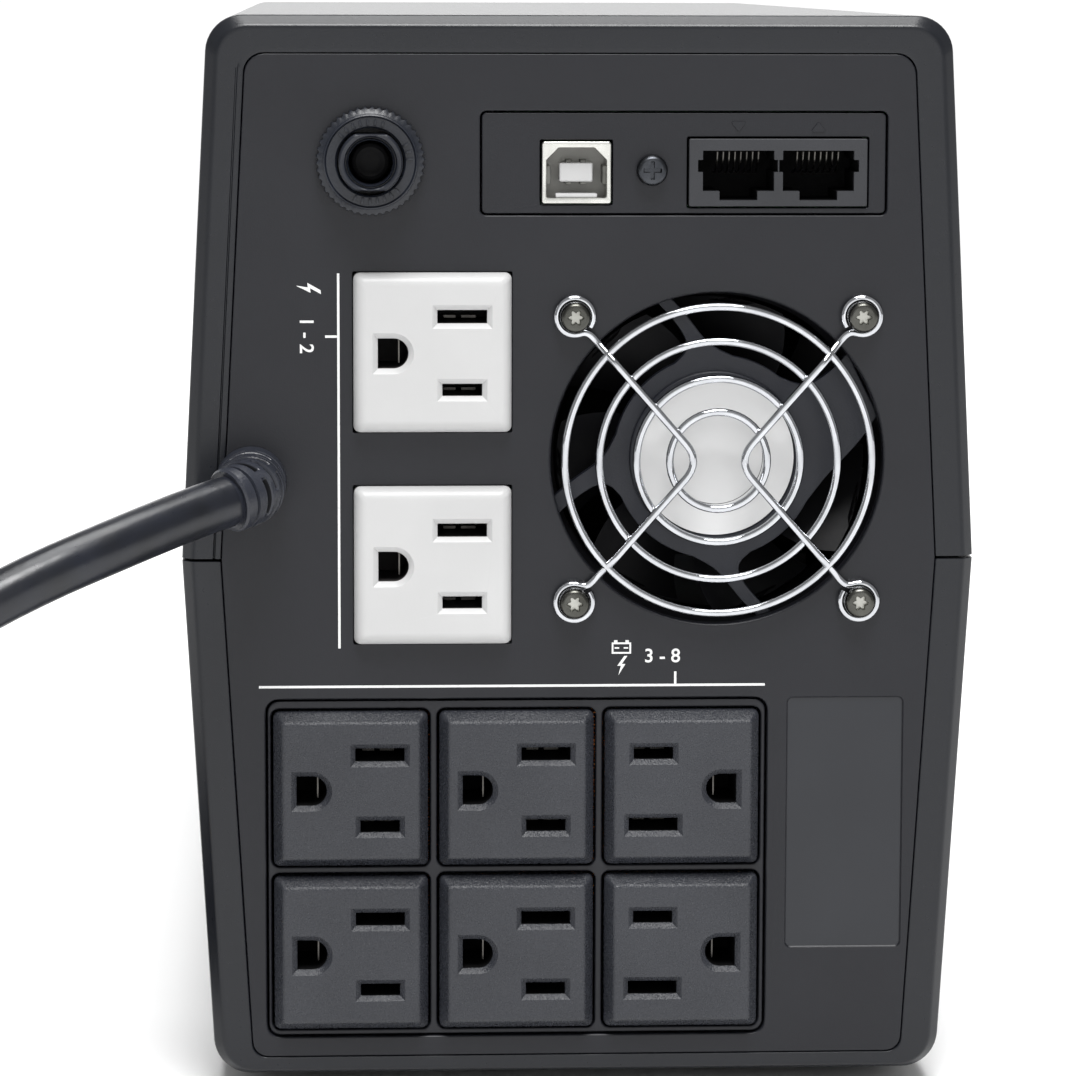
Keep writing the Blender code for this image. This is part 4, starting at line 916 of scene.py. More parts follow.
SEAM_Z = 0.0953
SEAM_GAP = 0.0006
SEAM_HALF_WIDTH = 0.0694
TOP_HALF_WIDTH = 0.0644
BOTTOM_HALF_WIDTH = 0.0641
BODY_TOP = CASE_HIGH.z
BODY_BOTTOM = CASE_LOW.z
CORNER_RADIUS = 0.0065
WALL = 0.0025
FRONT_Y = CASE_HIGH.y
PANEL_SIDE_INSET = 0.0068
PANEL_TOP = 0.1831
PANEL_BOTTOM = 0.0065
PANEL_TOP_RADIUS = 0.0035
PANEL_BOTTOM_RADIUS = 0.0027
# The rear rim, as (how far in, how far forward of the rear plane): a chamfer with eased edges.
RIM_PROFILE = (
    (0.0, 0.0036), (0.0, 0.0024), (0.00008, 0.0020), (0.00030, 0.0017),
    (0.00140, 0.00055), (0.00160, 0.00036), (0.00185, 0.00017), (0.00215, 0.00005), (0.00260, 0.0),
)
# The trim groove beside the panel: how far in it starts and ends, and how deep it is.
TRIM_GROOVE = (0.0054, 0.0058)
TRIM_DEPTH = 0.0007
TRIM_SLOPE = 0.0001
# How far from the shell's end the trim groove starts to sink in, and where it has its full depth.
TRIM_FADE = (0.007, 0.016)
# The rounded lip round the panel's seat, as (how far past the seat's side, how far forward).
LIP_PROFILE = ((-0.0003, 0.0), (-0.00008, 0.00008), (0.0, 0.0003), (0.0, WALL))
VENT_FIRST_Y = 0.030
VENT_SPACING = 0.010
VENT_WIDTH = 0.004
VENT_COUNT = 9
VENT_CUT_X = (0.056, 0.078)
UPPER_VENTS = (0.118, 0.150)
LOWER_VENTS = (0.040, 0.072)
# A foot's dished sole, as (radius, height).
FOOT_SOLE = ((0.0030, 0.0006), (0.0034, 0.0), (0.0064, 0.0), (0.0070, 0.0003), (0.0073, 0.0009))


def side_at(z, inset=0.0):
    """Half the case's width at a height, less an inset."""
    if z >= SEAM_Z:
        part = (z - SEAM_Z) / (BODY_TOP - SEAM_Z)
        return SEAM_HALF_WIDTH + (TOP_HALF_WIDTH - SEAM_HALF_WIDTH) * part - inset
    part = (SEAM_Z - z) / (SEAM_Z - BODY_BOTTOM)
    return SEAM_HALF_WIDTH + (BOTTOM_HALF_WIDTH - SEAM_HALF_WIDTH) * part - inset


def half_section(seam_z, end_z, inset, radius, closed=False, seam_radius=0.0):
    """One shell's section from the seam on the left over its far end to the seam on the right."""
    seam_x, end_x = side_at(seam_z, inset), side_at(end_z, inset)
    corners = [(-seam_x, seam_z), (-end_x, end_z), (end_x, end_z), (seam_x, seam_z)]
    return rounded(corners, [seam_radius, radius, radius, seam_radius], 10, closed)


def shell_shape(seam_z, end_z, panel_end, panel_radius, trimmed):
    """A half shell with a chamfered rear rim and, on the left, a trim groove beside the panel."""
    inward = 1.0 if end_z < seam_z else -1.0
    end_inset = abs(panel_end - end_z)

    def section(inset):
        part = inset / PANEL_SIDE_INSET
        radius = CORNER_RADIUS + (panel_radius - CORNER_RADIUS) * part
        return half_section(seam_z, end_z + inward * end_inset * part, inset, radius)

    def groove(point, depth):
        if not trimmed:
            return 0.0
        from_top = abs(end_z - point[1])
        return depth * (point[0] < 0) * eased_step(from_top, *TRIM_FADE)

    near, far = TRIM_GROOVE
    rim = list(RIM_PROFILE)
    rim += [(near, 0.0), (near + TRIM_SLOPE, -1.0), (far - TRIM_SLOPE, -1.0), (far, 0.0)]
    rim += [(PANEL_SIDE_INSET + past, forward) for past, forward in LIP_PROFILE]
    rings = [at_depth(section(0.0), FRONT_Y)]
    for inset, depth in rim:
        points = section(inset)
        depths = [groove(point, TRIM_DEPTH) if depth < 0 else depth for point in points]
        rings.append([(point[0], REAR_Y + d, point[1]) for point, d in zip(points, depths)])
    inner_end = end_z + inward * WALL
    inner = half_section(seam_z, inner_end, WALL, CORNER_RADIUS - WALL)
    rings += [at_depth(inner, REAR_Y + WALL), at_depth(inner, FRONT_Y)]
    shape = bmesh.new()
    rows = [row_of(shape, ring) for ring in rings]
    bridge(shape, rows + rows[:1], closed=False)
    shape.faces.new([row[0] for row in rows])
    shape.faces.new([row[-1] for row in reversed(rows)])
    return shape


def vent_shapes(low_z, high_z):
    """Upright slots with rounded ends, through both side walls."""
    shape = bmesh.new()
    radius = VENT_WIDTH / 2 - 0.0001
    for side in (-1, 1):
        for k in range(VENT_COUNT):
            y = VENT_FIRST_Y + VENT_SPACING * k + VENT_WIDTH / 2
            near, far = y - VENT_WIDTH / 2, y + VENT_WIDTH / 2
            corners = [(near, low_z), (far, low_z), (far, high_z), (near, high_z)]
            outline = rounded(corners, [radius] * 4, 5)
            rings = [[(side * x, point[0], point[1]) for point in outline] for x in VENT_CUT_X]
            capped(shape, rings)
    return shape


def make_case():
    upper = shell_shape(SEAM_Z + SEAM_GAP / 4, BODY_TOP, PANEL_TOP, PANEL_TOP_RADIUS, True)
    lower = shell_shape(SEAM_Z - SEAM_GAP / 2, BODY_BOTTOM, PANEL_BOTTOM, PANEL_BOTTOM_RADIUS, False)
    for half, shape, vents in (("upper", upper, UPPER_VENTS), ("lower", lower, LOWER_VENTS)):
        piece(f"{half}_case", shape, CASE, stands_for=(f"{half}_shell",), bevel=0.00025, sharp=40.0,
              cuts=[vent_shapes(*vents)])
    for index in range(1, 5):
        low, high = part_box(f"foot_{index}")
        centre = ((low.x + high.x) / 2, (low.y + high.y) / 2)
        top, radius = high.z, (high.x - low.x) / 2
        profile = FOOT_SOLE + ((radius - 0.0001, top - 0.0004), (radius - 0.0003, top))
        piece(f"rubber_foot_{index}", spun(centre, profile), RUBBER,
              stands_for=(f"foot_{index}",))


# Rear panel


PANEL_BACK = PANEL_HIGH.y
PANEL_EDGE = 0.00022
PANEL_GAP = 0.00012
BANK_CENTRE = (-0.0109, 0.0403)
BANK_SIZE = (0.0881, 0.0604)
IO_CENTRE = (0.0179, 0.1642)
IO_SIZE = (0.0707, 0.0180)
OUTLET_SIZE = (0.0271, 0.0274)
OUTLET_CORNER = 0.0011
SURGE_OUTLETS = ((-0.0257, 0.1315), (-0.0257, 0.0943))
BACKUP_COLUMNS = (-0.0401, -0.0110, 0.0181)
BACKUP_ROWS = (0.0547, 0.0254)
BACKUP_OUTLETS = [(x, z) for z in BACKUP_ROWS for x in BACKUP_COLUMNS]
FAN_CENTRE = (0.0240, 0.1127)
FAN_OPENING_RADIUS = 0.0291
FAN_SCREW_OFFSET = 0.025
FAN_SCREWS = tuple((FAN_CENTRE[0] + side_x * FAN_SCREW_OFFSET, FAN_CENTRE[1] + side_z * FAN_SCREW_OFFSET)
                   for side_z in (1, -1) for side_x in (-1, 1))
BREAKER_CENTRE = (-0.0364, 0.1646)
BREAKER_HOLE = 0.0058
LABEL_CENTRE = (0.04695, 0.0480)
LABEL_SIZE = (0.0205, 0.0450)
LABEL_DEPTH = 0.00035
RELIEF_HOLE = 0.0046
SOCKET_WELL_GAP = 0.0004
MARK_DEPTH = 0.00006


def panel_outline(inset):
    """The rear panel's six-sided outline."""
    side = PANEL_SIDE_INSET + PANEL_GAP + inset
    top, bottom = PANEL_TOP - PANEL_GAP - inset, PANEL_BOTTOM + PANEL_GAP + inset
    corners = [
        (-side_at(bottom, side), bottom), (side_at(bottom, side), bottom), (side_at(SEAM_Z, side), SEAM_Z),
        (side_at(top, side), top), (-side_at(top, side), top), (-side_at(SEAM_Z, side), SEAM_Z),
    ]
    lower, upper = PANEL_BOTTOM_RADIUS - inset, PANEL_TOP_RADIUS - inset
    return rounded(corners, [lower, lower, 0.001, upper, upper, 0.001])


def make_rear_panel():
    outer = [at_depth(panel_outline(0.0), PANEL_BACK)] + eased(panel_outline, PANEL_EDGE, REAR_Y, 1)
    openings = [
        (around(BANK_CENTRE, BANK_SIZE, 0.0022), 0.0004),
        (around(IO_CENTRE, IO_SIZE, 0.0011), 0.0003),
        (disc(FAN_CENTRE, FAN_OPENING_RADIUS, 96), 0.0005),
        (disc(BREAKER_CENTRE, BREAKER_HOLE), 0.0002),
        (disc(RELIEF_ROOT, RELIEF_HOLE), 0.0002),
    ]
    openings += [(around(centre, wider(OUTLET_SIZE, GAP), 0.0003), 0.0001) for centre in SURGE_OUTLETS]
    wells = [through(outline, mouth, REAR_Y, PANEL_BACK) for outline, mouth in openings]
    label = around(LABEL_CENTRE, LABEL_SIZE, 0.0010)
    seat = stepped(label, REAR_Y, (-0.0001, 0.0), (0.0, LABEL_DEPTH * 0.6), (0.0002, LABEL_DEPTH))
    wells.append((seat, False))
    made = piece("rear_panel_face", carved(outer, wells), PANEL, stands_for=("rear_panel",))

    def on_label(centre, normal):
        from_middle = abs(centre.x - LABEL_CENTRE[0]), abs(centre.z - LABEL_CENTRE[1])
        inside = from_middle[0] < LABEL_SIZE[0] / 2 and from_middle[1] < LABEL_SIZE[1] / 2
        return inside and abs(centre.y - REAR_Y - LABEL_DEPTH) < LABEL_DEPTH * 0.1 and normal.y < -0.9

    paint(made, LABEL_PAD, on_label)


def make_bank():
    """The frame round the six dark sockets: a raised rim and bars, with a well for each socket."""
    face, back = REAR_Y + 0.0004, PANEL_BACK
    outline = around(BANK_CENTRE, wider(BANK_SIZE, -GAP), 0.0020)
    outer = [at_depth(outline(0.0), back)] + eased(outline, 0.0003, face, 1)
    holes = [around(centre, wider(OUTLET_SIZE, SOCKET_WELL_GAP), OUTLET_CORNER + GAP)
             for centre in BACKUP_OUTLETS]
    wells = [through(hole, 0.0003, face, back) for hole in holes]
    piece("socket_bank", carved(outer, wells), PANEL, stands_for=("outlet_bank_frame",))


# Sockets


BLADE_SPACING = 0.0127
BLADE_OFFSET = 0.0051
GROUND_OFFSET = 0.0068
NEUTRAL_SLOT = (0.0086, 0.0023)
LINE_SLOT = (0.0069, 0.0021)
GROUND_RADIUS = 0.0026
GROUND_FLAT = 0.0027
SLOT_CHAMFER = 0.00085
SOCKET_PROUD = 0.0030
SOCKET_DEPTH = 0.020
SOCKET_HOLE_DEPTH = 0.0155
DARK_FROM = 0.0024
# The socket's outer edge, as (how far in, how far in front of the rear plane).
SOCKET_EDGE = (
    (0.0, 0.0002), (0.00006, 0.0005), (0.00030, 0.00085),
    (0.00135, 0.00255), (0.00158, 0.0028), (0.00185, 0.00294), (0.00220, 0.0030),
)
SOFT_SOCKET_EDGE = (
    (-0.00016, 0.00006), (-0.00018, 0.0004), (-0.00012, 0.0009), (0.00006, 0.0015), (0.00036, 0.0021),
    (0.00078, 0.00255), (0.00125, 0.00284), (0.00170, 0.00297), (0.00215, 0.0030),
)
# A slot's side, as (how far in, how far behind the face): an eased chamfer, then straight back.
SLOT_PROFILE = (
    (-SLOT_CHAMFER - 0.0001, 0.0), (-SLOT_CHAMFER, 0.00006), (-0.0001, SLOT_CHAMFER - 0.0001),
    (0.0, SLOT_CHAMFER + 0.00006), (0.0, DARK_FROM), (0.0, SOCKET_HOLE_DEPTH),
)
# The contacts' leaves, as the spans of each in X, Y and Z from the middle of its slot in the face.
LEAF_X = ((-0.0030, -0.0009), (0.0001, 0.0026))
LEAF_Y = (0.0100, 0.0160)
LEAF_Z = ((-0.00090, -0.00045), (0.00045, 0.00090))
GROUND_LEAF = ((-0.00012, 0.00012), (0.0050, 0.0120), (-0.0020, 0.0020))
GROUND_LEAF_IN = 0.0010


def ground_outline(centre, facing, segments=20):
    """A D-shaped hole whose round side faces the slots, as a function of how far it is drawn in."""
    x, z = centre

    def outline(inset):
        radius = GROUND_RADIUS - inset
        points = []
        for k in range(segments + 1):
            turn = math.pi * (k / segments - 0.5)
            points.append((x + facing * radius * math.cos(turn), z + radius * math.sin(turn)))
        flat = x - facing * (GROUND_FLAT - inset)
        return points + [(flat, z + radius), (flat, z - radius)]

    return outline


def socket_wells(centre, facing, face_y):
    blades_x = centre[0] + facing * BLADE_OFFSET
    half = BLADE_SPACING / 2
    outlines = [
        mitred((blades_x, centre[1] + facing * half), NEUTRAL_SLOT),
        mitred((blades_x, centre[1] - facing * half), LINE_SLOT),
        ground_outline((centre[0] - facing * GROUND_OFFSET, centre[1]), facing),
    ]
    return [(stepped(outline, face_y, *SLOT_PROFILE), False) for outline in outlines]


def make_socket(name, node, centre, look, edge=SOCKET_EDGE, hole=PAINTED_HOLE_SHADE, turned_over=False):
    """A grounded socket: bevelled face, chamfered slots, chambers painted dark as the shade inside them, and
    the contacts within them.
    """
    facing = -1 if turned_over else 1
    face_y = REAR_Y - SOCKET_PROUD

    def outline(inset):
        return rectangle(centre, OUTLET_SIZE, max(OUTLET_CORNER - inset * 0.35, 0.0003), inset)

    outer = [at_depth(outline(0.0), REAR_Y + SOCKET_DEPTH)]
    outer += [at_depth(outline(0.0), REAR_Y - edge[0][1])]
    outer += [at_depth(outline(inset), REAR_Y - proud) for inset, proud in edge]
    made = piece(name, carved(outer, socket_wells(centre, facing, face_y)), look, stands_for=(node,),
                 sharp=28.0)

    # The slots' faces behind their chamfers take the hole look: a darker colour painted as the shade inside
    # the chambers, not the plastic's own colour.
    def in_slot(place, normal):
        across = max(abs(place.x - centre[0]), abs(place.z - centre[1]))
        return across < OUTLET_SIZE[0] * 0.45 and place.y > face_y + SLOT_CHAMFER + 0.0002

    paint(made, hole, in_slot)
    leaves = bmesh.new()
    for side in (1, -1):
        slot_middle = (centre[0] + facing * BLADE_OFFSET, face_y, centre[1] + side * BLADE_SPACING / 2)
        for x in LEAF_X:
            for z in LEAF_Z:
                block(leaves, slot_middle, x, LEAF_Y, z)
    ground_x = centre[0] - facing * (GROUND_OFFSET - GROUND_LEAF_IN)
    block(leaves, (ground_x, face_y, centre[1]), *GROUND_LEAF)
    piece(f"{name}_contacts", leaves, WIRE_DARK)


def make_sockets():
    for index, centre in enumerate(SURGE_OUTLETS, 1):
        make_socket(f"white_socket_{index}", f"surge_outlet_{index}", centre, WHITE,
                    SOFT_SOCKET_EDGE, PAINTED_WHITE_SLOT_SHADE)
    for index, centre in enumerate(BACKUP_OUTLETS, 1):
        over = centre[0] == BACKUP_COLUMNS[-1]
        make_socket(f"black_socket_{index}", f"backup_outlet_{index}", centre, SOCKET,
                    turned_over=over)


# Data ports


USB_CENTRE = (-0.0008, 0.1626)
USB_SIZE = (0.0120, 0.0107)
USB_OPENING = (0.0104, 0.0086)
USB_SHOULDER = 0.0021
USB_FACE = REAR_Y - 0.0006
DATA_CENTRE = (0.0342, 0.1626)
DATA_SIZE = (0.0310, 0.0117)
DATA_PORTS_X = (0.0273, 0.0412)
DATA_PORT_TOP = 0.1664
DATA_WIDE = 0.0062
DATA_SHOULDER_Z = 0.1594
DATA_NARROW = 0.0033
DATA_FOOT_Z = 0.1578
DATA_NOTCH = (0.00085, 0.1627, 0.1648)
DATA_CONTACTS = 8
DATA_CONTACT_SPACING = 0.00102
IO_SCREW = (0.0123, 0.1630)
USB_SHELL_DEPTH = 0.0155
USB_WELL_DEPTH = 0.0058
# Small parts of the square port, as their spans in X, Y and Z.
USB_SPRING = ((-0.0004, 0.0004), (0.0008, 0.0054), (-0.0020, 0.0012))
USB_LIP = ((-0.0036, 0.0036), (0.0004, 0.0030), (-0.0043, -0.0036))
USB_PAD = ((-0.0005, 0.0005), (0.0006, 0.0042), (-0.0003, 0.0003))
USB_PAD_AT = (0.00125, 0.00185)
DATA_FACE = REAR_Y - 0.0004
DATA_SHELL_DEPTH = 0.0175
DATA_WELL = (0.0, 0.0016, 0.0140)
# A contact wire's path, as (how far behind the jack's face, how far below the port's roof).
DATA_WIRE = ((0.0016, 0.0002), (0.0024, 0.0018), (0.0044, 0.0032), (0.0074, 0.0040), (0.0104, 0.0040))
DATA_WIRE_RADIUS = 0.00019
ARROW_HALF = (0.0014, 0.0009)
ARROW_Z = 0.1705
ARROW_PROUD = 0.00022


def usb_outline(inset):
    """The square port's opening, its two upper corners cut off."""
    x, z = USB_CENTRE
    half_x, half_z = USB_OPENING[0] / 2 - inset, USB_OPENING[1] / 2 - inset
    cut_off = USB_SHOULDER - inset * 0.6
    corners = [(x - half_x, z - half_z), (x + half_x, z - half_z), (x + half_x, z + half_z - cut_off),
               (x + half_x - cut_off, z + half_z), (x - half_x + cut_off, z + half_z),
               (x - half_x, z + half_z - cut_off)]
    return rounded(corners, [0.0004] * 6, 3)


def port_outline(x):
    """A stepped network port, with a notch in each side, as a function of how far it is drawn in."""
    notch, notch_low, notch_high = DATA_NOTCH
    half = [(DATA_NARROW, DATA_FOOT_Z), (DATA_NARROW, DATA_SHOULDER_Z), (DATA_WIDE, DATA_SHOULDER_Z),
            (DATA_WIDE, notch_low), (DATA_WIDE + notch, notch_low), (DATA_WIDE + notch, notch_high),
            (DATA_WIDE, notch_high), (DATA_WIDE, DATA_PORT_TOP)]
    corners = [(x + px, pz) for px, pz in half] + [(x - px, pz) for px, pz in reversed(half)]
    return rounded(corners, [0.00008] * len(corners), 1)


def make_ports():
    face, back = REAR_Y + 0.0003, PANEL_BACK
    outline = around(IO_CENTRE, wider(IO_SIZE, -GAP), 0.0008)
    outer = [at_depth(outline(0.0), back)] + eased(outline, 0.00025, face, 1)
    wells = [through(around(centre, wider(size, GAP), 0.0003), 0.00015, face, back)
             for centre, size in ((USB_CENTRE, USB_SIZE), (DATA_CENTRE, DATA_SIZE))]
    piece("port_plate", carved(outer, wells), PANEL, stands_for=("io_plate",))
    make_square_port()
    make_network_jack()
    for x, name, tip in zip(DATA_PORTS_X, ("in", "out"), (-ARROW_HALF[1], ARROW_HALF[1])):
        corners = [(x - ARROW_HALF[0], ARROW_Z - tip), (x + ARROW_HALF[0], ARROW_Z - tip), (x, ARROW_Z + tip)]
        arrow = prism(rounded(corners, [0.0002] * 3, 2), face, face - ARROW_PROUD)
        piece(f"port_arrow_{name}", arrow, PANEL, bevel=0.00006)


def make_square_port():
    """The square port: nickel shell with springs and lip, and a white block with its pads."""
    usb = around(USB_CENTRE, USB_SIZE, 0.0005)
    outer = [at_depth(usb(0.0), REAR_Y + USB_SHELL_DEPTH)] + eased(usb, 0.00025, USB_FACE, 1)
    well = stepped(usb_outline, USB_FACE, (-0.0002, 0.0), (-0.00006, 0.00006), (0.0, 0.0002),
                   (0.0, USB_WELL_DEPTH))
    made = piece("usb_port", carved(outer, [(well, False)]), NICKEL, stands_for=("usb_shell",))
    paint(made, PORT_GREY, lambda place, normal: place.y > USB_FACE + USB_WELL_DEPTH - 0.0002
          and normal.y < -0.9)
    springs, lip, pads = bmesh.new(), bmesh.new(), bmesh.new()
    x, z = USB_CENTRE
    for side in (-1, 1):
        block(springs, (x + side * (USB_OPENING[0] / 2 - 0.0003), USB_FACE, z), *USB_SPRING)
    block(lip, (x, USB_FACE, z), *USB_LIP)
    piece("usb_lip", lip, WHITE, bevel=0.0002)
    piece("usb_springs", springs, DARK_STEEL, bevel=0.00015)

    low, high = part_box("usb_tongue")
    tongue = around(USB_CENTRE, (high.x - low.x, high.z - low.z), 0.0003)
    rings = [at_depth(tongue(0.0), USB_FACE + 0.0060)] + eased(tongue, 0.0003, low.y, 1)
    piece("usb_block", skin(rings), WHITE, stands_for=("usb_tongue",))
    for side_x in (-1, 1):
        for side_z in (-1, 1):
            block(pads, (x + side_x * USB_PAD_AT[0], low.y, z + side_z * USB_PAD_AT[1]), *USB_PAD)
    piece("usb_pads", pads, DARK_STEEL, bevel=0.0001)


def make_network_jack():
    """The twin network jack and its spring contacts: eight wires a port, sloping from roof to rear."""
    block_outline = around(DATA_CENTRE, DATA_SIZE, 0.0003)
    outer = [at_depth(block_outline(0.0), REAR_Y + DATA_SHELL_DEPTH)]
    outer += eased(block_outline, 0.0002, DATA_FACE, 1)
    wells = [([at_depth(port_outline(x), DATA_FACE + behind) for behind in DATA_WELL], False)
             for x in DATA_PORTS_X]
    jack = piece("network_jack", carved(outer, wells), JACK, stands_for=("data_jack",))
    # The ports' faces past their mouths get a near-black colour: painted shade inside them.
    paint(jack, PAINTED_HOLE_SHADE, lambda place, normal: place.y > DATA_FACE + DATA_WELL[1] + 0.0002)
    wires = bmesh.new()
    for port_x in DATA_PORTS_X:
        for k in range(DATA_CONTACTS):
            x = port_x + (k - (DATA_CONTACTS - 1) / 2) * DATA_CONTACT_SPACING
            path = [Vector((x, DATA_FACE + behind, DATA_PORT_TOP - below)) for behind, below in DATA_WIRE]
            tube(even_points(path, 0.0006)[0], DATA_WIRE_RADIUS, 6, shape=wires)
    piece("port_contacts", wires, WIRE_DARK)


# Screws


HEAD_RADIUS = 0.0027
HEAD_BACK = 0.0019
HEAD_RISE = 0.0012
HEAD_ROUND = 0.0009
RECESS_REACH = 0.0016
RECESS_PROFILE = ((-0.0001, 0.0), (0.0, 0.0001), (0.0001, 0.0010))


def star(centre, radius=0.00108, lobe=0.00024, segments=72):
    """A six-lobed recess as a function of how far it is drawn in."""
    turns = [2 * math.pi * k / segments for k in range(segments)]
    radii = [radius + lobe * math.cos(6 * turn) for turn in turns]
    return lambda inset: [(centre[0] + (r - inset) * math.cos(t), centre[1] + (r - inset) * math.sin(t))
                          for t, r in zip(turns, radii)]


def cross(centre, reach=0.00150, half=0.00034):
    """A cross recess as a function of how far it is drawn in."""
    arm = [(half, -reach), (half, -half), (reach, -half), (reach, half), (half, half), (half, reach),
           (-half, reach), (-half, half), (-reach, half), (-reach, -half), (-half, -half), (-half, -reach)]

    def outline(inset):
        share = 1 - inset / reach
        corners = [(centre[0] + x * share, centre[1] + z * share) for x, z in arm]
        return rounded(corners, [0.00012] * len(corners), 2)

    return outline


def make_screw(name, node, centre, look, recess, recess_look):
    """A pan head screw: a low dome with a driver recess."""
    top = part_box(node)[0].y
    head = [(0.0, HEAD_BACK), (0.0, HEAD_RISE)]
    for k in range(1, 7):
        turn = math.pi / 2 * k / 6
        head.append((HEAD_ROUND * (1 - math.cos(turn)), HEAD_RISE - HEAD_RISE * math.sin(turn)))
    outer = stepped(disc(centre, HEAD_RADIUS, 48), top, *head)
    rings = stepped(recess(centre), top, *RECESS_PROFILE)
    made = piece(name, carved(outer, [(rings, False)]), look, stands_for=(node,), sharp=40.0)
    paint(made, recess_look, lambda place, normal: place.y > top + 0.00005
          and math.hypot(place.x - centre[0], place.z - centre[1]) < RECESS_REACH)


# Breaker


NUT_RADIUS = 0.0094
NUT_TEETH = 46
TOOTH_DEPTH = 0.00030
RING_RADIUS = 0.0082
NECK_RADIUS = 0.0055
NECK_FLAT = 0.0048
BORE_RADIUS = 0.0038
BREAKER_RIM = REAR_Y - 0.0080
THREAD_PITCH = 0.0008
THREAD_DEPTH = 0.00028
NUT_HOLE = NECK_RADIUS + GAP
# The nut's knurled band, as (share of a tooth's depth, how far in front of its seat), then the smooth
# ring on it, as (radius, how far in front of its seat).
NUT_KNURL = ((0.6, 0.0), (1.0, 0.0003), (1.0, 0.0016), (0.5, 0.0020))
NUT_RING = (
    (RING_RADIUS + 0.0004, 0.0022), (RING_RADIUS, 0.0025), (RING_RADIUS, 0.0039),
    (RING_RADIUS - 0.0001, 0.0041), (RING_RADIUS - 0.0003, 0.0042), (RING_RADIUS - 0.0005, 0.0041),
    (RING_RADIUS - 0.0006, 0.0039), (NUT_HOLE + 0.0003, 0.0039), (NUT_HOLE, 0.0036),
)
# The neck's mouth, as (how far outside the bore, how far behind the rim).
BREAKER_MOUTH = (
    (0.0, 0.0180), (0.0, 0.0011), (0.00008, 0.0006), (0.00022, 0.0003), (0.00036, 0.0006),
    (0.00042, 0.0011), (0.00052, 0.0011), (0.00064, 0.0003), (0.00090, 0.0),
)
# The body behind the panel, as (radius, how far behind the rear plane).
BREAKER_BODY = ((0.0099, 0.0028), (0.0105, 0.0034), (0.0105, 0.0292), (0.0097, 0.0300))
# The button's dished face, as (share of its radius, how far behind its front).
BREAKER_PUSH = ((0.30, 0.0006), (0.55, 0.0002), (0.72, 0.0), (0.88, 0.0002), (0.97, 0.0006), (1.0, 0.0012))
# Groups of raised ticks on the ring, as (degrees, how many).
RING_TICKS = ((105.0, 7), (15.0, 3), (-80.0, 7))
RING_TICK_STEP = 11.0
RING_TICK = ((0.0062, 0.0073), (-0.0042, -0.0038), (-0.00022, 0.00022))


def make_breaker():
    """The reset breaker: knurled nut, smooth ring with raised ticks, threaded neck with two flats, button."""
    x, z = BREAKER_CENTRE
    seat = REAR_Y - GAP

    def knurled(depth_share, y):
        ring = []
        for turn in round_turns(NUT_TEETH * 6):
            wave = max(-1.0, min(1.0, 1.6 * math.sin(NUT_TEETH * turn)))
            reach = NUT_RADIUS - TOOTH_DEPTH + TOOTH_DEPTH * depth_share * wave
            ring.append((x + reach * math.cos(turn), y, z + reach * math.sin(turn)))
        return ring

    def plain(radius, y):
        return circle(BREAKER_CENTRE, radius, y, NUT_TEETH * 6)

    rings = [plain(NUT_HOLE, seat)] + [knurled(share, seat - front) for share, front in NUT_KNURL]
    rings += [plain(radius, seat - front) for radius, front in NUT_RING]
    piece("breaker_ring_nut", looped(rings), BREAKER, stands_for=("breaker_nut",),
          sharp=40.0)

    ticks = bmesh.new()
    for middle, count in RING_TICKS:
        for k in range(count):
            turn = math.radians(middle + (k - (count - 1) / 2) * RING_TICK_STEP)
            tick = block(None, (0.0, seat, 0.0), *RING_TICK)
            move = Matrix.Translation((x, 0.0, z)) @ Matrix.Rotation(-turn, 4, "Y")
            bmesh.ops.transform(tick, matrix=move, verts=tick.verts[:])
            mesh = bpy.data.meshes.new("tick")
            tick.to_mesh(mesh)
            tick.free()
            ticks.from_mesh(mesh)
            bpy.data.meshes.remove(mesh)
    piece("breaker_ticks", ticks, BREAKER, bevel=0.00008)

    def threaded(radius, y, flat=NECK_FLAT):
        return circle(BREAKER_CENTRE, radius, y, flat=flat)

    neck = [circle(BREAKER_CENTRE, BORE_RADIUS + outside, BREAKER_RIM + behind)
            for outside, behind in BREAKER_MOUTH]
    neck.append(threaded(NECK_RADIUS - 0.0003, BREAKER_RIM, NECK_FLAT - 0.0002))
    y = BREAKER_RIM + THREAD_PITCH / 2
    while y < seat - NUT_RING[-1][1]:
        neck += [threaded(NECK_RADIUS, y), threaded(NECK_RADIUS - THREAD_DEPTH, y + THREAD_PITCH / 2)]
        y += THREAD_PITCH
    neck += [threaded(NECK_RADIUS, y), threaded(NECK_RADIUS, REAR_Y + BREAKER_BODY[0][1])]
    neck += [circle(BREAKER_CENTRE, radius, REAR_Y + behind) for radius, behind in BREAKER_BODY]
    piece("breaker_neck", skin(neck), BREAKER, stands_for=("breaker_body",), sharp=50.0)

    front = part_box("breaker_button")[0].y
    radius = BORE_RADIUS - GAP
    profile = [(radius * share, front + behind) for share, behind in BREAKER_PUSH]
    profile.append((radius, REAR_Y + 0.0110))
    # The button's colour is black plastic darkened further as painted shade at the bottom of the bore.
    piece("breaker_push_button", turned(BREAKER_CENTRE, profile), BUTTON_BLACK_AND_PAINTED_SHADE, "reset_button",
          stands_for=("breaker_button",))


# Fan


FAN_REAR = PANEL_BACK + GAP
FAN_DEPTH = 0.0150
MOTOR_PLATE_RADIUS = 0.0180
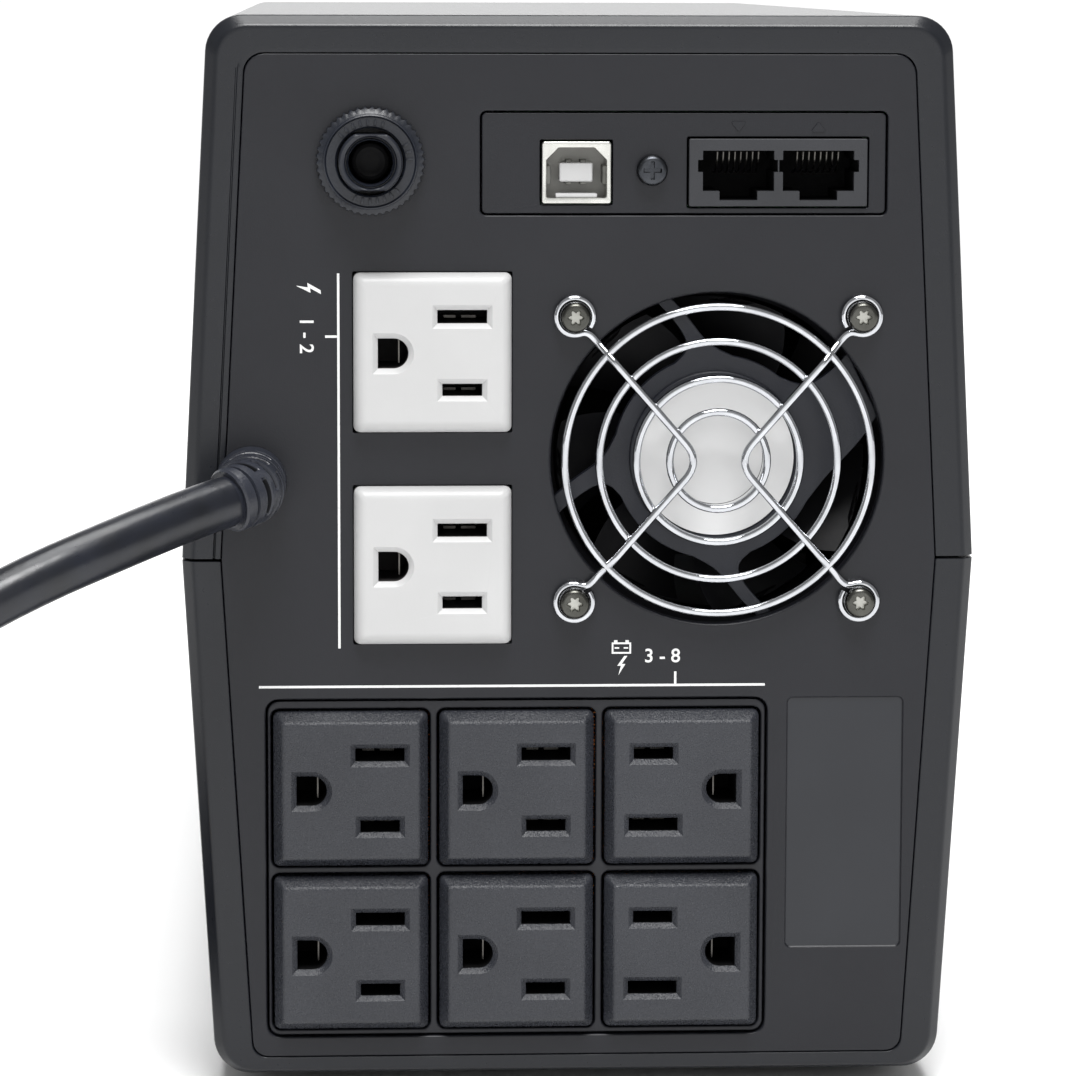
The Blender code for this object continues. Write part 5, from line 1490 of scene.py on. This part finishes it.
# Each strut as (degrees at the plate, half width there, degrees at the rim, half width there).
FAN_STRUTS = (
    (12.5, 0.0082, 26.5, 0.0062), (97.0, 0.0013, 109.0, 0.0013),
    (185.0, 0.0016, 197.0, 0.0016), (274.0, 0.0013, 288.0, 0.0013),
)
FILLET_SPREAD = 0.0040
FILLET_REACH = 0.0012
LABEL_RADIUS = 0.0139
LABEL_MIDDLE_RADIUS = 0.0082
GUARD_RADII = (0.0268, 0.0208, 0.0143, 0.0085)
WIRE_RADIUS = 0.0007
GUARD_WIRE_Y = REAR_Y - 0.0036
GUARD_RING_Y = REAR_Y - 0.0025
GUARD_SEAT_Y = REAR_Y - 0.0010
GUARD_BEND_X = 0.0031
GUARD_BEND_REACH = 0.0042
EYE_RADIUS = 0.0031
EYE_LEAD = 24.0
EYE_SWEEP = 322.0
EYE_STEPS = 32
EYE_NECK = 0.0053
EYE_HANDLE = 0.45
GUARD_DESCENT = 0.006
GUARD_SEGMENTS_PER_METRE = 5200
FAN_BLADES = 7
BLADE_ROOT = 0.0148
BLADE_TIP = 0.0276
BLADE_SWEEP = 46.0
BLADE_TIP_NARROWING = 6.0
BLADE_LEAD = 13.0
BLADE_NEAR = 0.0034
BLADE_RISE = 0.0104
BLADE_HALF = 0.00055
FAN_SIZE = (0.060, 0.060)
PLATE_Y = FAN_REAR + 0.0006
STRUT_THICK = 0.0020
LABEL_NEAR = PLATE_Y - 0.00045
LABEL_FAR = PLATE_Y - 0.00025
MOTOR_RADIUS = 0.0100
MOTOR_EDGE = 0.0004
# The rotor's hub, as (radius, how far behind its front) and (radius, how far in front of its back).
HUB_FRONT = ((0.0105, 0.0046), (0.0105, 0.0002), (0.0107, 0.0), (0.0153, 0.0), (0.0155, 0.0003))
HUB_BACK = ((0.0155, 0.0012), (0.0151, 0.0004), (0.0143, 0.0))


def spider_outline():
    """The motor plate with its slanted struts, as one outline with filleted roots."""
    rim = FAN_OPENING_RADIUS + 0.0004
    points = []
    count = len(FAN_STRUTS)
    steps = 14
    for index, (angle, half, rim_angle, rim_half) in enumerate(FAN_STRUTS):
        for side in (-1, 1):
            for k in range(steps + 1):
                part = k / steps if side < 0 else 1 - k / steps
                radius = MOTOR_PLATE_RADIUS + (rim - MOTOR_PLATE_RADIUS) * part
                fillet = FILLET_SPREAD * math.exp(-(radius - MOTOR_PLATE_RADIUS) / FILLET_REACH)
                width = half + (rim_half - half) * part + fillet
                turn = math.radians(angle + (rim_angle - angle) * part) + side * width / radius
                points.append((radius, turn))
        following = FAN_STRUTS[(index + 1) % count]
        start = math.radians(angle) + (half + FILLET_SPREAD) / MOTOR_PLATE_RADIUS
        full_turn = 360.0 if index == count - 1 else 0.0
        end = math.radians(following[0] + full_turn) - (following[1] + FILLET_SPREAD) / MOTOR_PLATE_RADIUS
        arc_steps = max(2, round((end - start) / 0.06))
        points += [(MOTOR_PLATE_RADIUS, start + (end - start) * k / arc_steps) for k in range(1, arc_steps)]
    return [(FAN_CENTRE[0] + r * math.cos(t), FAN_CENTRE[1] + r * math.sin(t)) for r, t in points]


def fan_blade(shape, start):
    """A blade whose thin curved section turns as it runs from hub to tip."""
    stations, chord_steps = 8, 8
    rings = []
    for i in range(stations + 1):
        part = i / stations
        radius = BLADE_ROOT + (BLADE_TIP - BLADE_ROOT) * part
        sweep = math.radians(BLADE_SWEEP - BLADE_TIP_NARROWING * part)
        lead = math.radians(BLADE_LEAD) * part ** 1.5
        front, back = [], []
        for k in range(chord_steps + 1):
            along = k / chord_steps
            turn = start + lead + sweep * along
            x, z = FAN_CENTRE[0] + radius * math.cos(turn), FAN_CENTRE[1] + radius * math.sin(turn)
            y = FAN_REAR + BLADE_NEAR + BLADE_RISE * (along ** 0.85)
            fullness = math.sin(math.pi * min(max(along, 0.06), 0.94)) ** 0.5
            half = BLADE_HALF * (1 - 0.55 * part) * fullness
            front.append((x, y - half, z))
            back.append((x, y + half, z))
        rings.append(front + back[::-1])
    capped(shape, rings)


def make_fan():
    square = around(FAN_CENTRE, FAN_SIZE, 0.0040)
    outer = [at_depth(square(0.0), FAN_REAR + FAN_DEPTH)] + eased(square, 0.0005, FAN_REAR, 1)
    rings = stepped(disc(FAN_CENTRE, FAN_OPENING_RADIUS, 96), FAN_REAR,
                    (-0.0002, 0.0), (0.0, 0.0003), (0.0008, 0.0050), (0.0008, FAN_DEPTH))
    piece("fan_housing", carved(outer, [(rings, True)]), FAN_BLACK,
          stands_for=("fan_frame",))
    spider = prism(spider_outline(), PLATE_Y, PLATE_Y + STRUT_THICK)
    piece("fan_spider", spider, STRUT, bevel=0.0003)

    label = disc(FAN_CENTRE, LABEL_RADIUS, 80)
    lip = disc(FAN_CENTRE, LABEL_RADIUS + 0.0013, 80)
    rings = [at_depth(lip(0.0), PLATE_Y + 0.0004)] + eased(lip, 0.0005, PLATE_Y - 0.0006, 1)
    rings += stepped(label, PLATE_Y, (-0.0001, -0.0006), (0.0, -0.0003))
    piece("fan_motor_cap", skin(rings), STRUT)
    middle = disc(FAN_CENTRE, LABEL_MIDDLE_RADIUS, 80)
    rings = [at_depth(middle(-0.00012), LABEL_FAR), at_depth(label(0.0002), LABEL_FAR),
             at_depth(label(0.0002), LABEL_NEAR), at_depth(middle(-0.00012), LABEL_NEAR)]
    piece("fan_hub_label", looped(rings), HUB_LABEL)
    piece("fan_hub_label_middle", prism(middle(0.0), LABEL_NEAR, LABEL_FAR), HUB_MIDDLE)

    low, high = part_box("fan_motor")
    motor = [(MOTOR_RADIUS - MOTOR_EDGE, low.y), (MOTOR_RADIUS, low.y + MOTOR_EDGE),
             (MOTOR_RADIUS, high.y - MOTOR_EDGE), (MOTOR_RADIUS - MOTOR_EDGE, high.y)]
    piece("fan_motor_drum", turned(FAN_CENTRE, motor), STRUT, stands_for=("fan_motor",))

    low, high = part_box("fan_impeller")
    hub = [(radius, low.y + behind) for radius, behind in HUB_FRONT]
    hub += [(radius, high.y - before) for radius, before in HUB_BACK]
    shape = turned(FAN_CENTRE, hub, 64)
    for start in round_turns(FAN_BLADES):
        fan_blade(shape, start)
    piece("fan_rotor_blades", shape, FAN_BLACK, "fan_rotor", stands_for=("fan_impeller",),
          sharp=40.0)


def eyelet(centre, bend, upper):
    """The eyelet's loop round a screw, from its open end to where it turns into the straight wire."""
    toward = math.atan2(bend.z - centre.z, bend.x - centre.x)
    left = 1 if bend.x > centre.x else -1
    spin = -left if upper else left
    start = toward + spin * math.radians(EYE_LEAD)
    loop = []
    for k in range(EYE_STEPS + 1):
        turn = start + spin * math.radians(EYE_SWEEP) * k / EYE_STEPS
        loop.append(centre + Vector((EYE_RADIUS * math.cos(turn), 0.0, EYE_RADIUS * math.sin(turn))))
    heading = Vector((spin * math.sin(start), 0.0, -spin * math.cos(start)))
    away = Vector((math.cos(toward), 0.0, math.sin(toward)))
    begin = loop[0]
    joint = centre + away * EYE_NECK
    # The neck is a curve whose ends follow the wire on one side and the loop on the other.
    handle = (begin - joint).length * EYE_HANDLE
    neck = []
    for k in range(1, 9):
        t = k / 9
        points = (begin, begin + heading * handle, joint - away * handle, joint)
        weights = ((1 - t) ** 3, 3 * t * (1 - t) ** 2, 3 * t * t * (1 - t), t ** 3)
        neck.append(sum((point * weight for point, weight in zip(points, weights)), Vector()))
    return loop[::-1] + neck + [joint]


def hook_wire(side):
    """One bent guard wire from an eyelet at the top to an eyelet at the bottom."""
    x, z = FAN_CENTRE
    bend = Vector((x + side * GUARD_BEND_X, GUARD_WIRE_Y, z))
    halves = []
    for upper in (True, False):
        rise = FAN_SCREW_OFFSET if upper else -FAN_SCREW_OFFSET
        centre = Vector((x + side * FAN_SCREW_OFFSET, GUARD_SEAT_Y, z + rise))
        path = eyelet(centre, bend, upper)
        joint = path[-1]
        inward = Vector((bend.x - joint.x, 0.0, bend.z - joint.z))
        run = inward.length
        inward.normalize()
        for k in range(1, 9):
            part = k / 8
            lift = (GUARD_WIRE_Y - GUARD_SEAT_Y) * eased_step(part, 0.0, 1.0)
            path.append(Vector((joint.x, joint.y + lift, joint.z)) + inward * GUARD_DESCENT * part)
        start = Vector((joint.x, GUARD_WIRE_Y, joint.z))
        straight = run - GUARD_DESCENT - GUARD_BEND_REACH
        path += [start + inward * (GUARD_DESCENT + straight * k / 6) for k in range(1, 7)]
        halves.append(path)
    first, second = halves
    arc = []
    for k in range(1, 8):
        part = k / 8
        arc.append(first[-1].lerp(bend, part).lerp(bend.lerp(second[-1], part), part))
    return first + arc + second[::-1]


def make_guard():
    """Chrome finger guard: four rings welded behind two bent wires that end in eyelets round the screws."""
    shape = bmesh.new()
    for radius in GUARD_RADII:
        segments = max(48, int(radius * GUARD_SEGMENTS_PER_METRE))
        tube(circle(FAN_CENTRE, radius, GUARD_RING_Y, segments), WIRE_RADIUS, 12, closed=True, shape=shape)
    for side in (-1, 1):
        tube(hook_wire(side), WIRE_RADIUS, 12, shape=shape)
    piece("finger_guard", shape, CHROME, stands_for=("fan_guard",), sharp=60.0)
    for index, centre in enumerate(FAN_SCREWS, 1):
        make_screw(f"guard_screw_{index}", f"fan_screw_{index}", centre, SCREW_STEEL, star, SCREW_RECESS)
    make_screw("port_screw", "io_screw", IO_SCREW, SCREW_BLACK, cross, SCREW_BLACK)


# Printed marks


PRINT_LINE = 0.00042
SURGE_LINE = (-0.0420, 0.0796, 0.1452)
SURGE_TICK = (-0.0443, 0.13425)
BACKUP_LINE = (-0.0561, 0.0327, 0.0728)
BACKUP_TICK = (0.0169, 0.0752)
SURGE_BOLT = ((-0.0472, 0.1427), 0.0042, math.radians(-84.0))
BACKUP_BOLT = ((0.0074, 0.0763), 0.0034)
SURGE_NUMBERS = (-0.0476, 0.1345)
BACKUP_NUMBERS = (0.0146, 0.0779)
NUMBER_SIZE = 0.0034
BATTERY_MARK = (0.0074, 0.0794)
# The battery mark's bars, as (low x, high x, low z, high z) from its middle: sides, floor and lid, and on
# each half a terminal and a sign.
BATTERY_BARS = (
    (-0.0017, -0.0014, -0.0010, 0.0010), (0.0014, 0.0017, -0.0010, 0.0010),
    (-0.00139, 0.00139, -0.0010, -0.0007), (-0.00139, 0.00139, 0.0007, 0.0010),
    (-0.0013, -0.0007, 0.00102, 0.0014), (-0.0012, -0.0004, -0.0001, 0.00015),
    (0.0007, 0.0013, 0.00102, 0.0014), (0.0004, 0.0012, -0.0001, 0.00015),
)
BOLT = ((0.30, 1.0), (-0.42, -0.02), (-0.04, -0.02), (-0.30, -1.0), (0.42, 0.16), (0.04, 0.16), (0.62, 1.0))


def bolt(centre, height, turn=0.0):
    """A lightning bolt's outline."""
    scale = height / 2
    c, s = math.cos(turn), math.sin(turn)
    return [(centre[0] + scale * (x * c - z * s), centre[1] + scale * (x * s + z * c)) for x, z in BOLT]


def printed_shape(shape, outline):
    """Adds a flat printed mark, as thin as ink."""
    near, far = (row_of(shape, at_depth(outline, REAR_Y + step)) for step in (-MARK_DEPTH, MARK_DEPTH))
    bridge(shape, [near, far])
    fill(shape, [near])
    fill(shape, [far])


def bar(shape, low, high):
    printed_shape(shape, [(low[0], low[1]), (high[0], low[1]), (high[0], high[1]), (low[0], high[1])])


def digits(name, text, centre, size, turn=0.0):
    """Plain printed numbers."""
    curve = bpy.data.curves.new(name, "FONT")
    curve.body = text
    curve.size = size
    curve.align_x = "CENTER"
    curve.align_y = "CENTER"
    curve.extrude = MARK_DEPTH
    curve.offset = size * 0.012
    made = bpy.data.objects.new(name, curve)
    bpy.context.scene.collection.objects.link(made)
    place = Matrix.Translation((centre[0], REAR_Y, centre[1]))
    made.matrix_world = place @ Matrix.Rotation(math.pi / 2, 4, "X") @ Matrix.Rotation(turn, 4, "Z")
    bpy.context.view_layer.update()
    mesh = bpy.data.meshes.new_from_object(made.evaluated_get(bpy.context.evaluated_depsgraph_get()))
    mesh.transform(made.matrix_world)
    shape = bmesh.new()
    shape.from_mesh(mesh)
    bmesh.ops.remove_doubles(shape, verts=shape.verts[:], dist=0.000001)
    bpy.data.objects.remove(made)
    piece(name, shape, PRINT)


def make_marks():
    """White lines that tie each group of sockets to its mark: a bolt, or a battery and bolt."""
    shape = bmesh.new()
    half, apart = PRINT_LINE / 2, 0.00002
    x, low_z, high_z = SURGE_LINE
    bar(shape, (x - half, low_z), (x + half, high_z))
    bar(shape, (SURGE_TICK[0], SURGE_TICK[1] - half), (x - half - apart, SURGE_TICK[1] + half))
    low_x, high_x, z = BACKUP_LINE
    bar(shape, (low_x, z - half), (high_x, z + half))
    bar(shape, (BACKUP_TICK[0] - half, z + half + apart), (BACKUP_TICK[0] + half, BACKUP_TICK[1]))
    printed_shape(shape, bolt(*SURGE_BOLT))
    printed_shape(shape, bolt(*BACKUP_BOLT))
    piece("printed_lines", shape, PRINT)

    battery = bmesh.new()
    x, z = BATTERY_MARK
    for low_x, high_x, low_z, high_z in BATTERY_BARS:
        bar(battery, (x + low_x, z + low_z), (x + high_x, z + high_z))
    piece("printed_battery", battery, PRINT)
    digits("surge_numbers", "1 - 2", SURGE_NUMBERS, NUMBER_SIZE, -math.pi / 2)
    digits("backup_numbers", "3 - 8", BACKUP_NUMBERS, NUMBER_SIZE)


# Front


BEZEL_FRONT = FRONT_Y + GAP + 0.0165
BEZEL_CROWN = 0.0035
WINDOW_CENTRE = (0.0, 0.158)
WINDOW_SIZE = (0.052, 0.034)
POWER_CENTRE = (0.0, 0.116)
POWER_RADIUS = 0.0085
SELECT_CENTRE = (-0.024, 0.116)
SELECT_RADIUS = 0.0052
ACCENT_LINE = ((0.0, 0.134), (0.088, 0.0008), 0.0003)
GRIP_TOP = 0.0800
GRIP_PITCH = 0.0042
GRIP_COUNT = 4
GRIP_SIZE = (0.040, 0.0018)
# A front button's domed edge and dished middle, as (how far in, how far behind its face).
PUSH_EDGE = ((0.0, 0.0012), (0.0002, 0.0005), (0.0008, 0.0))
PUSH_DISH = ((0.70, 0.0002), (0.35, 0.0005))
# Display icons: their depth about the glass, then spans in X and Z of the parts that repeat.
ICON_Y = (-0.00005, 0.00005)
CELLS = (-0.0150, 0.0034, 5)
CELL = ((0.0, 0.0026), (0.1560, 0.1620))
STEPS = (0.0050, 0.0026, 6)
STEP_X = (0.0, 0.0018)
STEP_Z = (0.1530, 0.1545)
STEP_RISE = 0.0016
BATTERY_ICON = (
    ((-0.0165, 0.0022), (0.1545, 0.1549)), ((-0.0165, 0.0022), (0.1631, 0.1635)),
    ((-0.0169, -0.0165), (0.1545, 0.1635)), ((0.0022, 0.0026), (0.1545, 0.1635)),
    ((0.0027, 0.0037), (0.1574, 0.1606)),
)


def bezel_shape(seam_z, end_z):
    """Half of the front bezel: a crowned, hollow tray."""
    inward = 1.0 if end_z < seam_z else -1.0

    def loop(inset, y, seam_radius=0.0008):
        seam, end = seam_z - inward * inset, end_z + inward * inset
        return at_depth(half_section(seam, end, inset, CORNER_RADIUS - inset * 0.6, True, seam_radius), y)

    rear = FRONT_Y + GAP
    crown = []
    for k in range(7):
        turn = math.pi / 2 * k / 6
        crown.append(loop(BEZEL_CROWN * (1 - math.cos(turn)), BEZEL_FRONT - 0.0050 * (1 - math.sin(turn))))
    return skin(crown[::-1] + [loop(0.0, rear), loop(WALL, rear), loop(WALL, BEZEL_FRONT - 0.0060),
                               loop(WALL + 0.0014, BEZEL_FRONT - WALL)])


def make_front():
    near, far = BEZEL_FRONT - 0.010, BEZEL_FRONT + 0.004
    cuts = [prism(rectangle(WINDOW_CENTRE, WINDOW_SIZE, 0.003), near, far),
            turned(POWER_CENTRE, [(POWER_RADIUS, near), (POWER_RADIUS, far)], 64),
            turned(SELECT_CENTRE, [(SELECT_RADIUS, near), (SELECT_RADIUS, far)], 48),
            prism(rectangle(*ACCENT_LINE), BEZEL_FRONT - 0.0005, far)]
    piece("front_bezel", bezel_shape(SEAM_Z + SEAM_GAP / 2, BODY_TOP), CASE,
          stands_for=("front_panel",), bevel=0.0003, sharp=40.0, cuts=cuts)
    grips = [rectangle((0.0, GRIP_TOP - GRIP_PITCH * k), GRIP_SIZE, 0.0008) for k in range(GRIP_COUNT)]
    grooves = [prism(outline, BEZEL_FRONT - 0.0010, far) for outline in grips]
    piece("battery_cover", bezel_shape(SEAM_Z - SEAM_GAP / 2, BODY_BOTTOM), CASE, "battery_cover",
          stands_for=("battery_door",), bevel=0.0003, sharp=40.0, cuts=grooves)

    low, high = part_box("display_window")
    window = around(WINDOW_CENTRE, (high.x - low.x, high.z - low.z), 0.0028)
    rings = stepped(window, high.y, (0.0, low.y - high.y), (0.0, -0.0004), (0.0001, -0.0001), (0.0004, 0.0))
    piece("display_glass", skin(rings), GLASS, stands_for=("display_window",))
    make_readout(high.y)
    for name, node, body, centre in (("power_push", "power_button", "power_key", POWER_CENTRE),
                                     ("select_push", "select_button", "select_key", SELECT_CENTRE)):
        low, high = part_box(node)
        radius = (high.x - low.x) / 2
        profile = [(radius, low.y)] + [(radius - inset, high.y - behind) for inset, behind in PUSH_EDGE]
        profile += [(radius * share, high.y - behind) for share, behind in PUSH_DISH]
        piece(name, turned(centre, profile, 64), BUTTON_BLACK, body, stands_for=(node,))
        make_power_mark(centre, high.y, radius, body, node == "power_button")


def make_power_mark(centre, face, radius, body, is_power):
    """A grey ring and stroke on the power button, or a small triangle on the select button."""
    shape = bmesh.new()

    def points(reach, turns):
        y = face - 0.00042
        return [(centre[0] + reach * math.sin(t), y, centre[1] + reach * math.cos(t)) for t in turns]

    if is_power:
        reach = radius * 0.34
        tube(points(reach, [math.radians(38 + 284 * k / 36) for k in range(37)]), 0.00024, 8, shape=shape)
        stroke = points(reach * 0.35, [0.0]) + points(reach * 1.25, [0.0])
        tube(stroke, 0.00024, 8, shape=shape)
    else:
        tube(points(radius * 0.30, round_turns(3)), 0.00022, 8, closed=True, shape=shape)
    piece(f"{body}_mark", shape, GREY_PRINT, body)


def make_readout(face):
    """Display icons: a battery with its cells and a row of load steps."""
    shape = bmesh.new()
    first, pitch, count = CELLS
    for k in range(count):
        block(shape, (first + pitch * k, face, 0.0), CELL[0], ICON_Y, CELL[1])
    first, pitch, count = STEPS
    for k in range(count):
        block(shape, (first + pitch * k, face, 0.0), STEP_X, ICON_Y, (STEP_Z[0], STEP_Z[1] + STEP_RISE * k))
    for x, z in BATTERY_ICON:
        block(shape, (0.0, face, 0.0), x, ICON_Y, z)
    piece("display_icons", shape, ICON)


# Inside


TERMINAL_X = 0.036
TERMINAL_BASE = ((-0.0032, 0.0032), (-0.0002, 0.0008), (-0.016, -0.008))
TERMINAL_BLADE = ((-0.0024, 0.0024), (0.0, 0.0032), (-0.0135, -0.0128))
BATTERY_RIB = ((-0.028, 0.028), (-0.0002, 0.0007), (0.0, 0.0022))
BATTERY_RIB_FIRST = 0.010
BATTERY_RIB_PITCH = 0.006


def make_inside():
    """Looks for the inner pieces, whose CAD shapes stay, and terminals for the batteries."""
    looks = {
        "inner_shelf": CASE, "main_board": BOARD, "io_board": BOARD, "display_board": BOARD,
        "lcd_module": BLACK, "battery_1": BATTERY, "battery_2": BATTERY, "transformer_core": CORE,
        "transformer_winding": COPPER, "heat_sink": ALUMINIUM, "capacitor_1": CAN, "capacitor_2": CAN,
        "relay_1": BLACK, "relay_2": BLACK,
    }
    for node, look in looks.items():
        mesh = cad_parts[node].data
        mesh.materials.clear()
        mesh.materials.append(look)
    for index in (1, 2):
        low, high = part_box(f"battery_{index}")
        shape = bmesh.new()
        for side in (-1, 1):
            for part in (TERMINAL_BASE, TERMINAL_BLADE):
                block(shape, (side * TERMINAL_X, high.y, high.z), *part)
        piece(f"battery_terminals_{index}", shape, NICKEL, bevel=0.0002)
        ribs = bmesh.new()
        for k in range(5):
            z = low.z + BATTERY_RIB_FIRST + BATTERY_RIB_PITCH * k
            block(ribs, (0.0, high.y, z), *BATTERY_RIB)
        piece(f"battery_ribs_{index}", ribs, BATTERY, bevel=0.0003)


make_camera()
make_light()
make_floor()
make_cord()
make_case()
make_rear_panel()
make_bank()
make_sockets()
make_ports()
make_breaker()
make_fan()
make_guard()
make_marks()
make_front()
make_inside()
